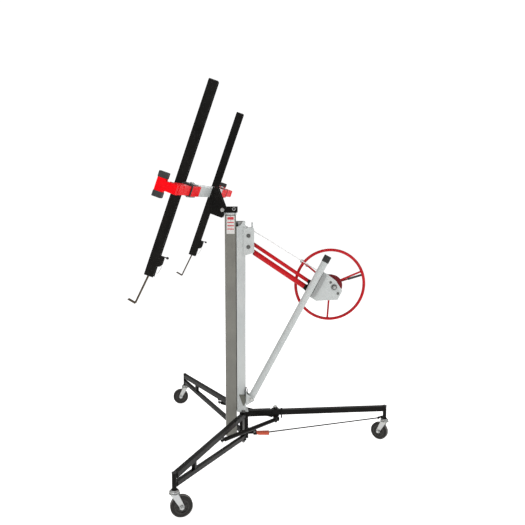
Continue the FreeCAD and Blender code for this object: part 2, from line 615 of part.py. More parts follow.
def arm(name, side):
    y0 = side * ARM_Y - ARM_W / 2
    y1 = side * ARM_Y + ARM_W / 2
    channel = block(ARM_LOW, ARM_HIGH, y0, y1, ARM_N0, ARM_N1)
    channel = channel.cut(block(ARM_LOW - 1, ARM_HIGH + 1, y0 + 3, y1 - 3, ARM_N0 - 1, ARM_N1 - 3))
    save(name + "_arm", tilted(channel))
    strands = []
    for y in (side * ARM_Y - 9, side * ARM_Y + 9):
        bend = V(HOOK_A, y, HOOK_N)
        lip = V(HOOK_A + 7, y, HOOK_N + HOOK_LIP)
        strands.append(rod(V(HOOK_EYE_A, y, HOOK_EYE_N), bend, HOOK_WIRE_R))
        strands.append(Part.makeSphere(HOOK_WIRE_R, bend))
        strands.append(rod(bend, lip, HOOK_WIRE_R))
        strands.append(Part.makeSphere(HOOK_WIRE_R, lip))
    tip = across(HOOK_A + 7, HOOK_N + HOOK_LIP, side * ARM_Y - 9, side * ARM_Y + 9, HOOK_WIRE_R)
    eye = across(HOOK_EYE_A, HOOK_EYE_N, side * ARM_Y - 12.5, side * ARM_Y + 12.5, 6)
    save(name + "_hook", tilted(joined(eye, tip, *strands)))


def outrigger(name, side):
    half = OUTRIGGER_TUBE / 2
    low, high = sorted((side * 380, side * TEE_Y))
    tube = block(BAR_A - half, BAR_A + half, low, high, BAR_N - half, BAR_N + half)
    bore = half - WALL
    end_low, end_high = sorted((side * 379, side * (TEE_Y - 20)))
    tube = tube.cut(block(BAR_A - bore, BAR_A + bore, end_low, end_high, BAR_N - bore, BAR_N + bore))
    y0 = side * TEE_Y - 19
    y1 = side * TEE_Y + 19
    riser = block(BAR_A - 20, BAR_A + 20, y0, y1, BAR_N - half, ARM_N1 - 34)
    bar = block(BAR_A - 28, BAR_A + 28, y0, y1, ARM_N1 - 38, ARM_N1 - 2)
    save(name + "_outrigger", tilted(joined(tube, riser, bar)))
    pads = []
    for a0 in (BAR_A - 54, BAR_A + 28):
        pad = block(a0, a0 + 26, y0 - 1.5, y1 + 1.5, ARM_N1 - 40, ARM_N1)
        pads.append(tilted(pad.makeFillet(3, pad.Edges)))
    save(name + "_outrigger_pads", *pads)


def build():
    hub()
    rear_leg()
    brake()
    for name, side in (("left", 1), ("right", -1)):
        folding_leg(name, side)
        spreader(name, side)
    collar()
    angle = math.radians(LEG_ANGLE)
    post_x = LEG_PIN_X + LEG_LENGTH * math.cos(angle)
    post_y = LEG_PIN_Y + LEG_LENGTH * math.sin(angle)
    caster("left_caster", post_x, post_y, 183)
    caster("right_caster", post_x, -post_y, 10)
    caster("rear_caster", REAR_POST_X, 0, 140)
    fixed_mast()
    sections()
    boom_bracket()
    boom()
    winch()
    cables()
    strut()
    saddle()
    tilt_bracket()
    crossbar()
    for name, side in (("near", -1), ("far", 1)):
        arm(name, side)
        outrigger(name, side)


build()
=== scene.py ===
"""Looks for the drywall lift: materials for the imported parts, and the small pieces that dress them.

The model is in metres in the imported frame. Lengths in this script are millimetres: a Shape is drawn in
millimetres in a local frame, and a placing matrix such as LIFT or CRADLE puts it into the model.
"""
import json
from math import copysign, cos, pi, radians, sin

import bmesh
import bpy
from mathutils import Matrix, Vector


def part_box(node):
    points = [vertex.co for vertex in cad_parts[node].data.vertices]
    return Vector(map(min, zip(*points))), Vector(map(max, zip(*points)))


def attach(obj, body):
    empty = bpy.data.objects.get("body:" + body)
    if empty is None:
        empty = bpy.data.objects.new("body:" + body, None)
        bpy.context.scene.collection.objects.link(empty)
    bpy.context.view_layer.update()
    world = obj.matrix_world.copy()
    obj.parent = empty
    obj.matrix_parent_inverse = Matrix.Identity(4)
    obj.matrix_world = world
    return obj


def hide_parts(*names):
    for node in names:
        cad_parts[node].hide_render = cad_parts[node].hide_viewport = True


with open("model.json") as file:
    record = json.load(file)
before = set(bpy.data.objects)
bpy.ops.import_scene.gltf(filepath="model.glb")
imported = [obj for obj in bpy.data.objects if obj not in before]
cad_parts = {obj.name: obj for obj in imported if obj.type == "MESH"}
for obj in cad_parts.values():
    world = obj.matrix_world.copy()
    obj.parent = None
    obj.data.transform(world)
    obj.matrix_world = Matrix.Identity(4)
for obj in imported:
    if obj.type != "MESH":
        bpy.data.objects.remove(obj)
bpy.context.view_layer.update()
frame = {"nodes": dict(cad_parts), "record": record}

MM = 0.001

# ---- places, some worked out from the imported parts and the rest given as numbers
mast_low, mast_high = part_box("fixed_mast")
MAST_HALF_X = 24.0
MAST_HALF_Y = (mast_high.y - mast_low.y) / 2 / MM
HUB = Vector((mast_low.x + MAST_HALF_X * MM, (mast_low.y + mast_high.y) / 2, 0.0))
LIFT = Matrix.Translation(HUB) @ Matrix.Scale(MM, 4)


def hub_point(world):
    """A point of the model in millimetres from the mast's foot."""
    return (world - HUB) / MM


def middle(node):
    low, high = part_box(node)
    return hub_point((low + high) / 2)


SHAFT = middle("brake_disc")
COLUMN_X = middle("first_section").x
CRADLE_YAW = radians(9.84)
CRADLE_TILT = radians(70.5)
HINGE_X = -38.0
HINGE_Z = 1340.0
CRADLE = (LIFT @ Matrix.Translation((COLUMN_X, 0, 0)) @ Matrix.Rotation(-CRADLE_YAW, 4, "Z")
          @ Matrix.Translation((HINGE_X, 0, HINGE_Z)) @ Matrix.Rotation(-CRADLE_TILT, 4, "Y"))
SADDLE = LIFT @ Matrix.Translation((COLUMN_X, 0, 0)) @ Matrix.Rotation(-CRADLE_YAW, 4, "Z")
BOOM_SLOPE = radians(34.3)
BOOM_LENGTH = 402.0
BOOM_TUBES = ((-8.0, 15.0), (28.5, 10.5))
BOOM_PIVOT = Vector((40.0, 0.0, 1138.0))
BOOM = LIFT @ Matrix.Translation(BOOM_PIVOT) @ Matrix.Rotation(BOOM_SLOPE, 4, "Y")
STRUT_FOOT = Vector((52.0, -52.0, 293.0))
STRUT_TOP = Vector((481.0, -52.0, 1086.0))
WHEEL_PLANE = 84.0
RIM_R = 200.0
LEG_LENGTH = 800.0
LEG_ANGLE = radians(116.0)
LEG_PIN = Vector((10.0, 40.0, 0.0))
REAR_POST_X = 835.0
POST_TOP = 203.5
POST_HALF = 11.5
STAY_AT = 0.76
COLLAR_X = 195.0
PEDAL_PIN = Vector((74.0, 0.0, 84.0))
ROD_END = Vector((808.0, 0.0, 134.0))
ROD_RUN = Vector((724.0, -9.0, 73.0))
CASTER_TRAIL = 30.0
SHEAVE = Vector((-2.0, 0.0, 1248.0))
HOUSING_LOW = (-135.0, -54.0)
HOUSING_HIGH = (-59.0, 86.0)
CRANK_ANGLE = radians(140.0)
ARM_Y = 530.0
TEE_Y = 840.0
SLEEVE_INNER_Y = 372.0
SLEEVE_OUTER_Y = 581.0
BAR_A = 66.0
BAR_N = 115.0
X_AXIS = Vector((1, 0, 0))
Y_AXIS = Vector((0, 1, 0))
Z_AXIS = Vector((0, 0, 1))


def leg_place(side):
    """The frame of a folding leg: x runs out along it from its hinge pin."""
    pin = Vector((LEG_PIN.x, side * LEG_PIN.y, 0))
    return LIFT @ Matrix.Translation(pin) @ Matrix.Rotation(side * LEG_ANGLE, 4, "Z")


# ---- material nodes
def new_material(name):
    made = bpy.data.materials.new(name)
    made.use_nodes = True
    tree = made.node_tree
    return made, tree, tree.nodes["Principled BSDF"]


def add(tree, kind, values=None, **settings):
    made = tree.nodes.new(kind)
    for key, value in settings.items():
        setattr(made, key, value)
    for key, value in (values or {}).items():
        made.inputs[key].default_value = value
    return made


def feed(shader, socket, value):
    """Set a shader's input to a plain value, or link a node's output to it."""
    if isinstance(value, bpy.types.NodeSocket):
        shader.id_data.links.new(value, shader.inputs[socket])
    else:
        shader.inputs[socket].default_value = value


def place_of(tree, stretch=(1, 1, 1)):
    """The surface's own place at rest, which moves with the piece."""
    coords = add(tree, "ShaderNodeTexCoord")
    mapping = add(tree, "ShaderNodeMapping", {"Scale": stretch})
    tree.links.new(coords.outputs["Object"], mapping.inputs["Vector"])
    return mapping.outputs["Vector"]


def noise(tree, where, scale, detail=3.0, rough=0.5):
    made = add(tree, "ShaderNodeTexNoise", {"Scale": scale, "Detail": detail, "Roughness": rough})
    tree.links.new(where, made.inputs["Vector"])
    return made.outputs["Fac"]


def remap(tree, value, low, high, to_low, to_high):
    made = add(
        tree, "ShaderNodeMapRange",
        {"From Min": low, "From Max": high, "To Min": to_low, "To Max": to_high})
    tree.links.new(value, made.inputs["Value"])
    return made.outputs["Result"]


def maths(tree, operation, first, second):
    made = add(tree, "ShaderNodeMath", operation=operation)
    for socket, value in zip(made.inputs, (first, second)):
        if isinstance(value, (int, float)):
            socket.default_value = value
        else:
            tree.links.new(value, socket)
    return made.outputs["Value"]


def blend_colours(tree, factor, first, second):
    made = add(tree, "ShaderNodeMix", data_type="RGBA")
    tree.links.new(factor, made.inputs["Factor"])
    for key, value in (("A", first), ("B", second)):
        socket = next(s for s in made.inputs if s.name == key and s.type == "RGBA")
        if isinstance(value, (tuple, list)):
            socket.default_value = (*value, 1.0)
        else:
            tree.links.new(value, socket)
    return next(s for s in made.outputs if s.type == "RGBA")


def edge_mask(tree, radius_mm):
    """1 on sharp edges and 0 on flat faces, from how far a rounded normal turns away, and that normal."""
    rounded = add(tree, "ShaderNodeBevel", {"Radius": radius_mm * MM}, samples=4)
    surface = add(tree, "ShaderNodeNewGeometry")
    dot = add(tree, "ShaderNodeVectorMath", operation="DOT_PRODUCT")
    tree.links.new(rounded.outputs["Normal"], dot.inputs[0])
    tree.links.new(surface.outputs["Normal"], dot.inputs[1])
    return remap(tree, dot.outputs["Value"], 0.995, 0.90, 0.0, 1.0), rounded.outputs["Normal"]


def bump(tree, height, distance_mm, strength=1.0, normal=None):
    made = add(tree, "ShaderNodeBump", {"Strength": strength, "Distance": distance_mm * MM})
    tree.links.new(height, made.inputs["Height"])
    if normal is not None:
        tree.links.new(normal, made.inputs["Normal"])
    return made.outputs["Normal"]


def powder_coat(name, colour, deep, rough, gloss=0.25, worn_and_highlight=(0.35, 0.34, 0.32), wear_and_highlight=0.5, peel=0.05,
                round_mm=1.2):
    """Sprayed paint on steel: orange peel, mottling, fine specks of dust, and edges scraped to the metal;
    on the black steel the pale edges are also painted highlights.
    """
    made, tree, shader = new_material(name)
    where = place_of(tree)
    mottle = remap(tree, noise(tree, where, 7.0, 5.0, 0.6), 0.36, 0.64, 0.0, 1.0)
    painted = blend_colours(tree, mottle, colour, deep)
    specks = remap(tree, noise(tree, where, 420.0, 2.0), 0.66, 0.74, 0.0, 0.35)
    dusty = blend_colours(tree, specks, painted, tuple(0.55 * c + 0.16 for c in colour))
    edges, rounded = edge_mask(tree, round_mm)
    patchy = remap(tree, noise(tree, where, 90.0, 4.0, 0.7), 0.48, 0.62, 0.0, wear_and_highlight)
    # Scraped edges: real scuffing, and on the black steel painted highlights as well.
    rubbed_and_highlight = maths(tree, "MULTIPLY", edges, patchy)
    feed(shader, "Base Color", blend_colours(tree, rubbed_and_highlight, dusty, worn_and_highlight))
    feed(shader, "Metallic", maths(tree, "MULTIPLY", rubbed_and_highlight, 0.8))
    dull = remap(tree, noise(tree, where, 35.0, 4.0, 0.65), 0.3, 0.7, rough - 0.06, rough + 0.09)
    feed(shader, "Roughness", dull)
    ripple = noise(tree, where, 520.0, 2.0)
    feed(shader, "Normal", bump(tree, ripple, peel, 0.8, rounded))
    feed(shader, "Specular IOR Level", gloss)
    return made


def plated_steel(name, colour, rough, stretch=(1, 1, 1), tint=(0.50, 0.50, 0.47)):
    """Zinc plate: a faint crystal spangle, drawn scratches, and duller patches of handling."""
    made, tree, shader = new_material(name)
    where = place_of(tree, stretch)
    spangle = add(tree, "ShaderNodeTexVoronoi", {"Scale": 160.0})
    tree.links.new(where, spangle.inputs["Vector"])
    grain = remap(tree, spangle.outputs["Distance"], 0.0, 0.8, 0.0, 0.45)
    handled = remap(tree, noise(tree, where, 26.0, 5.0, 0.6), 0.4, 0.68, 0.0, 0.8)
    base = blend_colours(tree, grain, colour, tuple(c * 0.86 for c in colour))
    feed(shader, "Base Color", blend_colours(tree, handled, base, tint))
    feed(shader, "Metallic", 0.9)
    scratch = noise(tree, place_of(tree, (900, 900, 60)), 1.0, 2.0)
    dull = remap(tree, maths(tree, "ADD", handled, scratch), 0.2, 1.4, rough - 0.08, rough + 0.18)
    feed(shader, "Roughness", dull)
    _, rounded = edge_mask(tree, 0.8)
    feed(shader, "Normal", bump(tree, scratch, 0.03, 0.5, rounded))
    return made


def moulded(name, colour, rough, dust=(0.25, 0.24, 0.22), dusty=0.35, pebble=0.12, scale=700.0,
            round_mm=0.8):
    """Moulded rubber or plastic: a fine pebbled skin, with dust lying on what faces up."""
    made, tree, shader = new_material(name)
    where = place_of(tree)
    coords = add(tree, "ShaderNodeTexCoord")
    parts = add(tree, "ShaderNodeSeparateXYZ")
    tree.links.new(coords.outputs["Normal"], parts.inputs["Vector"])
    lying = remap(tree, parts.outputs["Z"], 0.1, 1.0, 0.15, 1.0)
    cloud = remap(tree, noise(tree, where, 55.0, 6.0, 0.7), 0.42, 0.7, 0.0, dusty)
    film = maths(tree, "MULTIPLY", lying, cloud)
    feed(shader, "Base Color", blend_colours(tree, film, colour, dust))
    dull = remap(tree, noise(tree, where, 120.0, 3.0), 0.3, 0.7, rough - 0.08, rough + 0.08)
    feed(shader, "Roughness", dull)
    _, rounded = edge_mask(tree, round_mm)
    feed(shader, "Normal", bump(tree, noise(tree, where, scale, 3.0), pebble, 0.7, rounded))
    feed(shader, "Specular IOR Level", 0.3)
    return made


def tyre_rubber(name, axle):
    """A caster tyre: dark moulded walls, and a pale stripe on the tread round the axle line, broken up by
    noise: a painted highlight on the tread.
    """
    made, tree, shader = new_material(name)
    where = place_of(tree)
    coords = add(tree, "ShaderNodeTexCoord")
    dot = add(tree, "ShaderNodeVectorMath", {1: axle}, operation="DOT_PRODUCT")
    tree.links.new(coords.outputs["Normal"], dot.inputs[0])
    sideways = maths(tree, "ABSOLUTE", dot.outputs["Value"], 0.0)
    # Pale stripe on the tread: painted highlight.
    painted_light_band = remap(tree, sideways, 0.75, 0.15, 0.0, 0.85)
    patchy_highlight = remap(tree, noise(tree, where, 70.0, 6.0, 0.72), 0.25, 0.7, 0.35, 1.0)
    tread = maths(tree, "MULTIPLY", painted_light_band, patchy_highlight)
    cloud = remap(tree, noise(tree, where, 40.0, 5.0, 0.6), 0.4, 0.7, 0.0, 1.0)
    wall = blend_colours(tree, cloud, (0.009, 0.008, 0.007), (0.022, 0.020, 0.017))
    feed(shader, "Base Color", blend_colours(tree, tread, wall, (0.22, 0.21, 0.20)))
    feed(shader, "Roughness", remap(tree, tread, 0.0, 1.0, 0.55, 0.82))
    feed(shader, "Normal", bump(tree, noise(tree, where, 480.0, 4.0), 0.12, 0.8))
    feed(shader, "Specular IOR Level", 0.25)
    return made


def wire_rope(name, line):
    """Stranded steel cable: helical strands drawn as a slanting wave along the cable's line."""
    made, tree, shader = new_material(name)
    where = place_of(tree)
    wave = add(
        tree, "ShaderNodeTexWave", {"Scale": 1.0, "Distortion": 0.0}, wave_type="BANDS",
        bands_direction="X")
    slant = add(tree, "ShaderNodeVectorMath", {1: tuple(c * 180.0 for c in line)}, operation="DOT_PRODUCT")
    tree.links.new(where, slant.inputs[0])
    across = add(tree, "ShaderNodeCombineXYZ")
    twist = maths(tree, "ADD", slant.outputs["Value"], noise(tree, where, 300.0, 1.0))
    tree.links.new(twist, across.inputs["X"])
    tree.links.new(across.outputs["Vector"], wave.inputs["Vector"])
    colour = blend_colours(tree, wave.outputs["Fac"], (0.66, 0.66, 0.66), (0.92, 0.92, 0.91))
    feed(shader, "Base Color", colour)
    feed(shader, "Metallic", 0.25)
    feed(shader, "Roughness", remap(tree, wave.outputs["Fac"], 0, 1, 0.5, 0.32))
    feed(shader, "Normal", bump(tree, wave.outputs["Fac"], 0.4, 0.9))
    return made


# Black steel: its pale edges stand partly for scraped paint and partly for painted highlights along the
# edges.
BLACK = powder_coat(
    "black_powder", (0.0045, 0.0042, 0.0037), (0.0085, 0.0078, 0.0068), 0.33, gloss=0.08,
    worn_and_highlight=(0.17, 0.16, 0.14), wear_and_highlight=0.7, peel=0.05)
LIGHT_GREY = powder_coat(
    "light_grey_powder", (0.455, 0.48, 0.475), (0.51, 0.53, 0.52), 0.42, worn_and_highlight=(0.36, 0.36, 0.35), wear_and_highlight=0.35,
    peel=0.06)
# A darker copy of the light grey paint: painted shade for the winch housing's side flange.
SHADED_SIDE_GREY = powder_coat("shaded_side_grey_powder", (0.33, 0.345, 0.34), (0.38, 0.39, 0.385), 0.45, wear_and_highlight=0.3)
DARK_GREY = powder_coat(
    "dark_grey_powder", (0.205, 0.202, 0.177), (0.178, 0.175, 0.156), 0.46, worn_and_highlight=(0.34, 0.33, 0.31),
    wear_and_highlight=0.5, peel=0.07)
GUSSET_GREY = powder_coat("gusset_grey_powder", (0.13, 0.135, 0.112), (0.15, 0.15, 0.13), 0.5, wear_and_highlight=0.4)
RED = powder_coat(
    "red_gloss_powder", (0.80, 0.003, 0.007), (0.70, 0.002, 0.006), 0.40, gloss=0.03,
    worn_and_highlight=(0.34, 0.08, 0.07), wear_and_highlight=0.35, peel=0.015)
# The crossbar's red made darker for the boom: painted shade.
BOOM_SHADED_RED = powder_coat(
    "boom_shaded_red_powder", (0.52, 0.002, 0.007), (0.44, 0.002, 0.006), 0.34, gloss=0.22,
    worn_and_highlight=(0.30, 0.07, 0.06), wear_and_highlight=0.35, peel=0.035)
RED_SLEEVE = powder_coat(
    "red_sleeve_powder", (0.78, 0.003, 0.007), (0.68, 0.002, 0.006), 0.42, gloss=0.02,
    worn_and_highlight=(0.34, 0.08, 0.07), wear_and_highlight=0.2, peel=0.012, round_mm=0.25)
WHEEL_RED = powder_coat(
    "handwheel_red_powder", (0.50, 0.004, 0.010), (0.40, 0.003, 0.008), 0.32, gloss=0.22,
    worn_and_highlight=(0.28, 0.07, 0.07), wear_and_highlight=0.35, peel=0.035)
DARK_RED = powder_coat(
    "dark_red_powder", (0.20, 0.004, 0.010), (0.14, 0.003, 0.008), 0.36, gloss=0.22,
    worn_and_highlight=(0.25, 0.08, 0.08), wear_and_highlight=0.4, peel=0.04)
PEDAL = powder_coat(
    "pedal_red_powder", (0.60, 0.095, 0.045), (0.52, 0.08, 0.04), 0.48, worn_and_highlight=(0.42, 0.36, 0.32), wear_and_highlight=0.5,
    peel=0.08)
ZINC = plated_steel("zinc_plate", (0.47, 0.48, 0.48), 0.34)
DARK_ZINC = plated_steel("blackened_bolt_steel", (0.16, 0.16, 0.155), 0.42, tint=(0.10, 0.10, 0.095))
SPRING_STEEL = plated_steel("spring_steel", (0.36, 0.35, 0.33), 0.30, tint=(0.24, 0.23, 0.21))
HOOK_STEEL = plated_steel("oiled_hook_wire", (0.09, 0.07, 0.045), 0.36, tint=(0.035, 0.028, 0.02))
RUBBER = moulded("black_moulded_rubber", (0.022, 0.022, 0.022), 0.62)
WHEEL_PLASTIC = moulded("wheel_core_plastic", (0.030, 0.028, 0.025), 0.48, dusty=0.5)
NYLON = moulded("natural_nylon", (0.66, 0.65, 0.60), 0.42, dust=(0.40, 0.38, 0.34), pebble=0.05)
KNOB_GREY = moulded("knob_grey_plastic", (0.26, 0.26, 0.25), 0.38, pebble=0.04)
RUN_CABLE = wire_rope("boom_cable_steel", (0.82, 0.0, -0.57))
DROP_CABLE = wire_rope("mast_cable_steel", (0.0, 0.0, 1.0))
PLAIN_LABEL = moulded(
    "plain_label_vinyl", (0.66, 0.65, 0.63), 0.32, dust=(0.5, 0.49, 0.46), dusty=0.4, pebble=0.01,
    round_mm=0.1)
RED_LABEL = moulded(
    "red_label_vinyl", (0.56, 0.04, 0.05), 0.32, dust=(0.5, 0.3, 0.3), dusty=0.3, pebble=0.01, round_mm=0.1)

SLOT_MATERIAL = {
    "black_steel": BLACK, "light_grey_paint": LIGHT_GREY, "dark_grey_paint": DARK_GREY, "red_paint": RED,
    "dark_red_paint": DARK_RED, "pedal_paint": PEDAL, "zinc_steel": ZINC, "wheel_core": WHEEL_PLASTIC,
    "black_rubber": RUBBER, "guide_plastic": NYLON, "knob_plastic": KNOB_GREY,
}
PIECE_SLOT = {material.name: slot for slot, material in SLOT_MATERIAL.items()}
ALIKE = {"zinc_steel": (DARK_ZINC, SPRING_STEEL, DROP_CABLE), "light_grey_paint": (PLAIN_LABEL, SHADED_SIDE_GREY),
         "dark_grey_paint": (GUSSET_GREY,), "red_paint": (RED_LABEL, BOOM_SHADED_RED, WHEEL_RED, RED_SLEEVE)}
for shared_slot, alike_materials in ALIKE.items():
    for alike in alike_materials:
        PIECE_SLOT[alike.name] = shared_slot
CASTERS = {"left": 183.0, "right": 10.0, "rear": 140.0}
NODE_MATERIAL = {"handwheel": WHEEL_RED, "boom_lower_tube": BOOM_SHADED_RED, "boom_upper_tube": BOOM_SHADED_RED,
                 "cable_run": RUN_CABLE, "cable_drop": DROP_CABLE, "near_hook": HOOK_STEEL,
                 "far_hook": HOOK_STEEL}


def finish_cad_parts():
    """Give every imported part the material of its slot, or its own."""
    for part in frame["record"]["subparts"]:
        node = part["node"]
        material = NODE_MATERIAL.get(node) or SLOT_MATERIAL.get(part["material_slot"])
        for slot in frame["nodes"][node].material_slots:
            slot.material = material
    for name, trail in CASTERS.items():
        angle = radians(trail)
        rubber = tyre_rubber(name + "_tyre_rubber", (-sin(angle), cos(angle), 0.0))
        for slot in frame["nodes"][name + "_caster_tyre"].material_slots:
            slot.material = rubber


# ---- mesh tools
def basis(axis):
    axis = Vector(axis).normalized()
    side = (Y_AXIS if abs(axis.y) < 0.9 else Z_AXIS).cross(axis).normalized()
    return side, axis.cross(side), axis


def angles(count):
    """The angles of evenly spaced places round a full turn."""
    return [2 * pi * k / count for k in range(count)]


def circle(centre, axis, radius, count=48):
    side, other, _ = basis(axis)
    return [Vector(centre) + side * radius * cos(t) + other * radius * sin(t) for t in angles(count)]


def helix(start, axis, radius, pitch, turns, per_turn=20):
    side, other, axis = basis(axis)
    steps = int(turns * per_turn)
    return [Vector(start) + axis * pitch * k / per_turn
            + side * radius * cos(2 * pi * k / per_turn)
            + other * radius * sin(2 * pi * k / per_turn) for k in range(steps + 1)]


def evenly(path, step, closed=False):
    """The same path with points a step apart."""
    points = [Vector(p) for p in path] + ([Vector(path[0])] if closed else [])
    out = [points[0]]
    carried = 0.0
    for a, b in zip(points, points[1:]):
        length = (b - a).length
        while carried + step <= length:
            carried += step
            out.append(a.lerp(b, carried / length))
        carried -= length
    return out


def round_rectangle(half_u, half_v, corner, per_corner=5):
    out = []
    for sign_u, sign_v, start in ((1, 1, 0), (-1, 1, 90), (-1, -1, 180), (1, -1, 270)):
        for k in range(per_corner + 1):
            t = radians(start + 90 * k / per_corner)
            out.append(
                (sign_u * (half_u - corner) + corner * cos(t),
                    sign_v * (half_v - corner) + corner * sin(t)))
    return out


class Shape:
    """A mesh being drawn in millimetres."""

    def __init__(self):
        self.bm = bmesh.new()

    def _bridge(self, rings, closed_path=False):
        pairs = list(zip(rings, rings[1:])) + ([(rings[-1], rings[0])] if closed_path else [])
        count = len(rings[0])
        for a, b in pairs:
            for k in range(count):
                m = (k + 1) % count
                self.bm.faces.new((a[k], a[m], b[m], b[k]))
        if not closed_path:
            self.bm.faces.new(list(reversed(rings[0])))
            self.bm.faces.new(rings[-1])

    def lathe(self, centre, axis, profile, sides=32, flat=None):
        """Turn (radius, height) pairs round the axis. flat is half the width across flats of a hexagon."""
        side, other, axis = basis(axis)
        rings = []
        for radius, height in profile:
            ring = []
            for t in angles(sides):
                r = radius
                if flat:
                    r = min(radius, flat / cos((t + pi / 6) % (pi / 3) - pi / 6))
                spot = Vector(centre) + axis * height
                ring.append(self.bm.verts.new(spot + (side * cos(t) + other * sin(t)) * r))
            rings.append(ring)
        self._bridge(rings)
        return self

    def ring(self, centre, axis, profile, sides=40):
        """Turn a closed (radius, height) outline round the axis, leaving its middle open."""
        side, other, axis = basis(axis)
        rings = []
        for t in angles(sides):
            out = side * cos(t) + other * sin(t)
            rings.append([self.bm.verts.new(Vector(centre) + axis * h + out * r) for r, h in profile])
        self._bridge(rings, closed_path=True)
        return self

    def hex_head(self, centre, axis, flat, height):
        corner = flat / cos(pi / 6)
        profile = [(corner, 0), (corner, height * 0.72), (flat * 0.97, height)]
        return self.lathe(centre, axis, profile, 24, flat)

    def washer(self, centre, axis, radius, thick):
        edge = min(0.4, thick * 0.3)
        profile = [(radius - edge, 0), (radius, edge), (radius, thick - edge), (radius - edge, thick)]
        return self.lathe(centre, axis, profile, 36)

    def bolt_head(self, spot, axis, radius, thick, flat, height):
        """A washer with a hexagon head on it."""
        self.washer(spot, axis, radius, thick)
        return self.hex_head(Vector(spot) + Vector(axis) * thick, axis, flat, height)

    def stud_end(self, centre, axis, radius, length, pitch=1.25):
        """The threaded end of a bolt, as close rings with a chamfered tip."""
        profile = [(radius, 0)]
        height = 0.0
        while height + pitch < length - radius * 0.2:
            profile += [(radius, height + pitch * 0.25), (radius * 0.86, height + pitch * 0.6)]
            height += pitch
        profile += [(radius * 0.9, length - radius * 0.2), (radius * 0.72, length)]
        return self.lathe(centre, axis, profile, 20)

    def nut(self, centre, axis, flat, height, radius, proud=3.0, nyloc=True):
        """A nut on the end of a bolt, with the bolt's thread standing out of it."""
        self.hex_head(centre, axis, flat, height)
        top = Vector(centre) + Vector(axis).normalized() * height
        if nyloc:
            collar = [(flat * 0.9, -0.2), (flat * 0.88, height * 0.22), (flat * 0.7, height * 0.34)]
            self.lathe(top, axis, collar, 28)
        self.stud_end(top, axis, radius, proud + height * 0.3)
        return self

    def tube(self, path, radius, sides=12, closed=False):
        """Sweep a round section along a path. radius may be a function of the point's number."""
        points = [Vector(p) for p in path]
        count = len(points)
        tangents = []
        for i in range(count):
            before = points[i - 1] if closed or i else points[i]
            after = points[(i + 1) % count] if closed or i < count - 1 else points[i]
            tangents.append((after - before).normalized())
        normal = basis(tangents[0])[0]
        rings = []
        for i, tangent in enumerate(tangents):
            if i:
                normal = tangents[i - 1].rotation_difference(tangent) @ normal
            other = tangent.cross(normal)
            r = radius(i) if callable(radius) else radius
            ring = [points[i] + (normal * cos(t) + other * sin(t)) * r for t in angles(sides)]
            rings.append([self.bm.verts.new(spot) for spot in ring])
        self._bridge(rings, closed_path=closed)
        return self

    def weld(self, path, radius=2.0, closed=True):
        """A weld bead: overlapping scallops along a path."""
        points = evenly(path, radius * 0.45, closed)
        if closed and (points[0] - points[-1]).length < radius * 0.4:
            points.pop()
        return self.tube(points, lambda i: radius * (0.80 + 0.22 * abs(sin(i * pi / 4))), 8, closed)

    def plate(self, outline, origin, thick, u=X_AXIS, v=Z_AXIS):
        """A flat plate: an outline of (u, v) pairs, thickened along u cross v."""
        u, v = Vector(u), Vector(v)
        w = u.cross(v).normalized()
        rings = []
        for depth in (0.0, thick):
            ring = [Vector(origin) + u * a + v * b + w * depth for a, b in outline]
            rings.append([self.bm.verts.new(spot) for spot in ring])
        self._bridge(rings)
        return self

    def sleeve(self, start, end, half_u, half_v, wall, up=Z_AXIS, corner=4.0):
        """A rounded square tube round the line from start to end."""
        start, end = Vector(start), Vector(end)
        line = (end - start).normalized()
        v = (Vector(up) - line * line.dot(Vector(up))).normalized()
        u = v.cross(line)
        outer = round_rectangle(half_u, half_v, corner)
        inner = round_rectangle(half_u - wall, half_v - wall, max(corner - wall, 0.6))
        rings = []
        for spot, shape in ((start, outer), (end, outer), (end, inner), (start, inner)):
            rings.append([self.bm.verts.new(spot + u * a + v * b) for a, b in shape])
        self._bridge(rings, closed_path=True)
        return self

    def done(self, name, material, body, place=LIFT, bevel=0, replaces=()):
        """Finish the mesh as a piece of the model."""
        bmesh.ops.recalc_face_normals(self.bm, faces=self.bm.faces)
        self.bm.transform(place)
        mesh = bpy.data.meshes.new(name)
        self.bm.to_mesh(mesh)
        self.bm.free()
        for polygon in mesh.polygons:
            polygon.use_smooth = True
        mesh.set_sharp_from_angle(angle=radians(38))
        mesh.materials.append(material)
        piece = bpy.data.objects.new(name, mesh)
        bpy.context.collection.objects.link(piece)
        if bevel:
            rounding = piece.modifiers.new("rounded_edges", "BEVEL")
            rounding.width = bevel * MM
            rounding.segments = 2
            rounding.limit_method = "ANGLE"
            rounding.angle_limit = radians(40)
            rounding.use_clamp_overlap = True
        weighted = piece.modifiers.new("flat_faces", "WEIGHTED_NORMAL")
        weighted.keep_sharp = True
        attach(piece, body)
        if replaces:
            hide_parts(*replaces)
        return piece


# ---- tripod
def square_path(centre, u, v, half_u, half_v, corner=3.0):
    outline = round_rectangle(half_u, half_v, corner, 4)
    return [Vector(centre) + Vector(u) * a + Vector(v) * b for a, b in outline]


def post_cap(name, x, place, body):
    """The rubber cap on top of a caster post."""
    cap = Shape().lathe(
        (x, 0, POST_TOP), Z_AXIS, [(10.3, 0), (11.6, 0.6), (11.6, 2.4), (10.2, 4.4), (6, 5.8), (0.6, 6.2)],
        36)
    cap.done(name + "_post_cap", RUBBER, body, place=place)


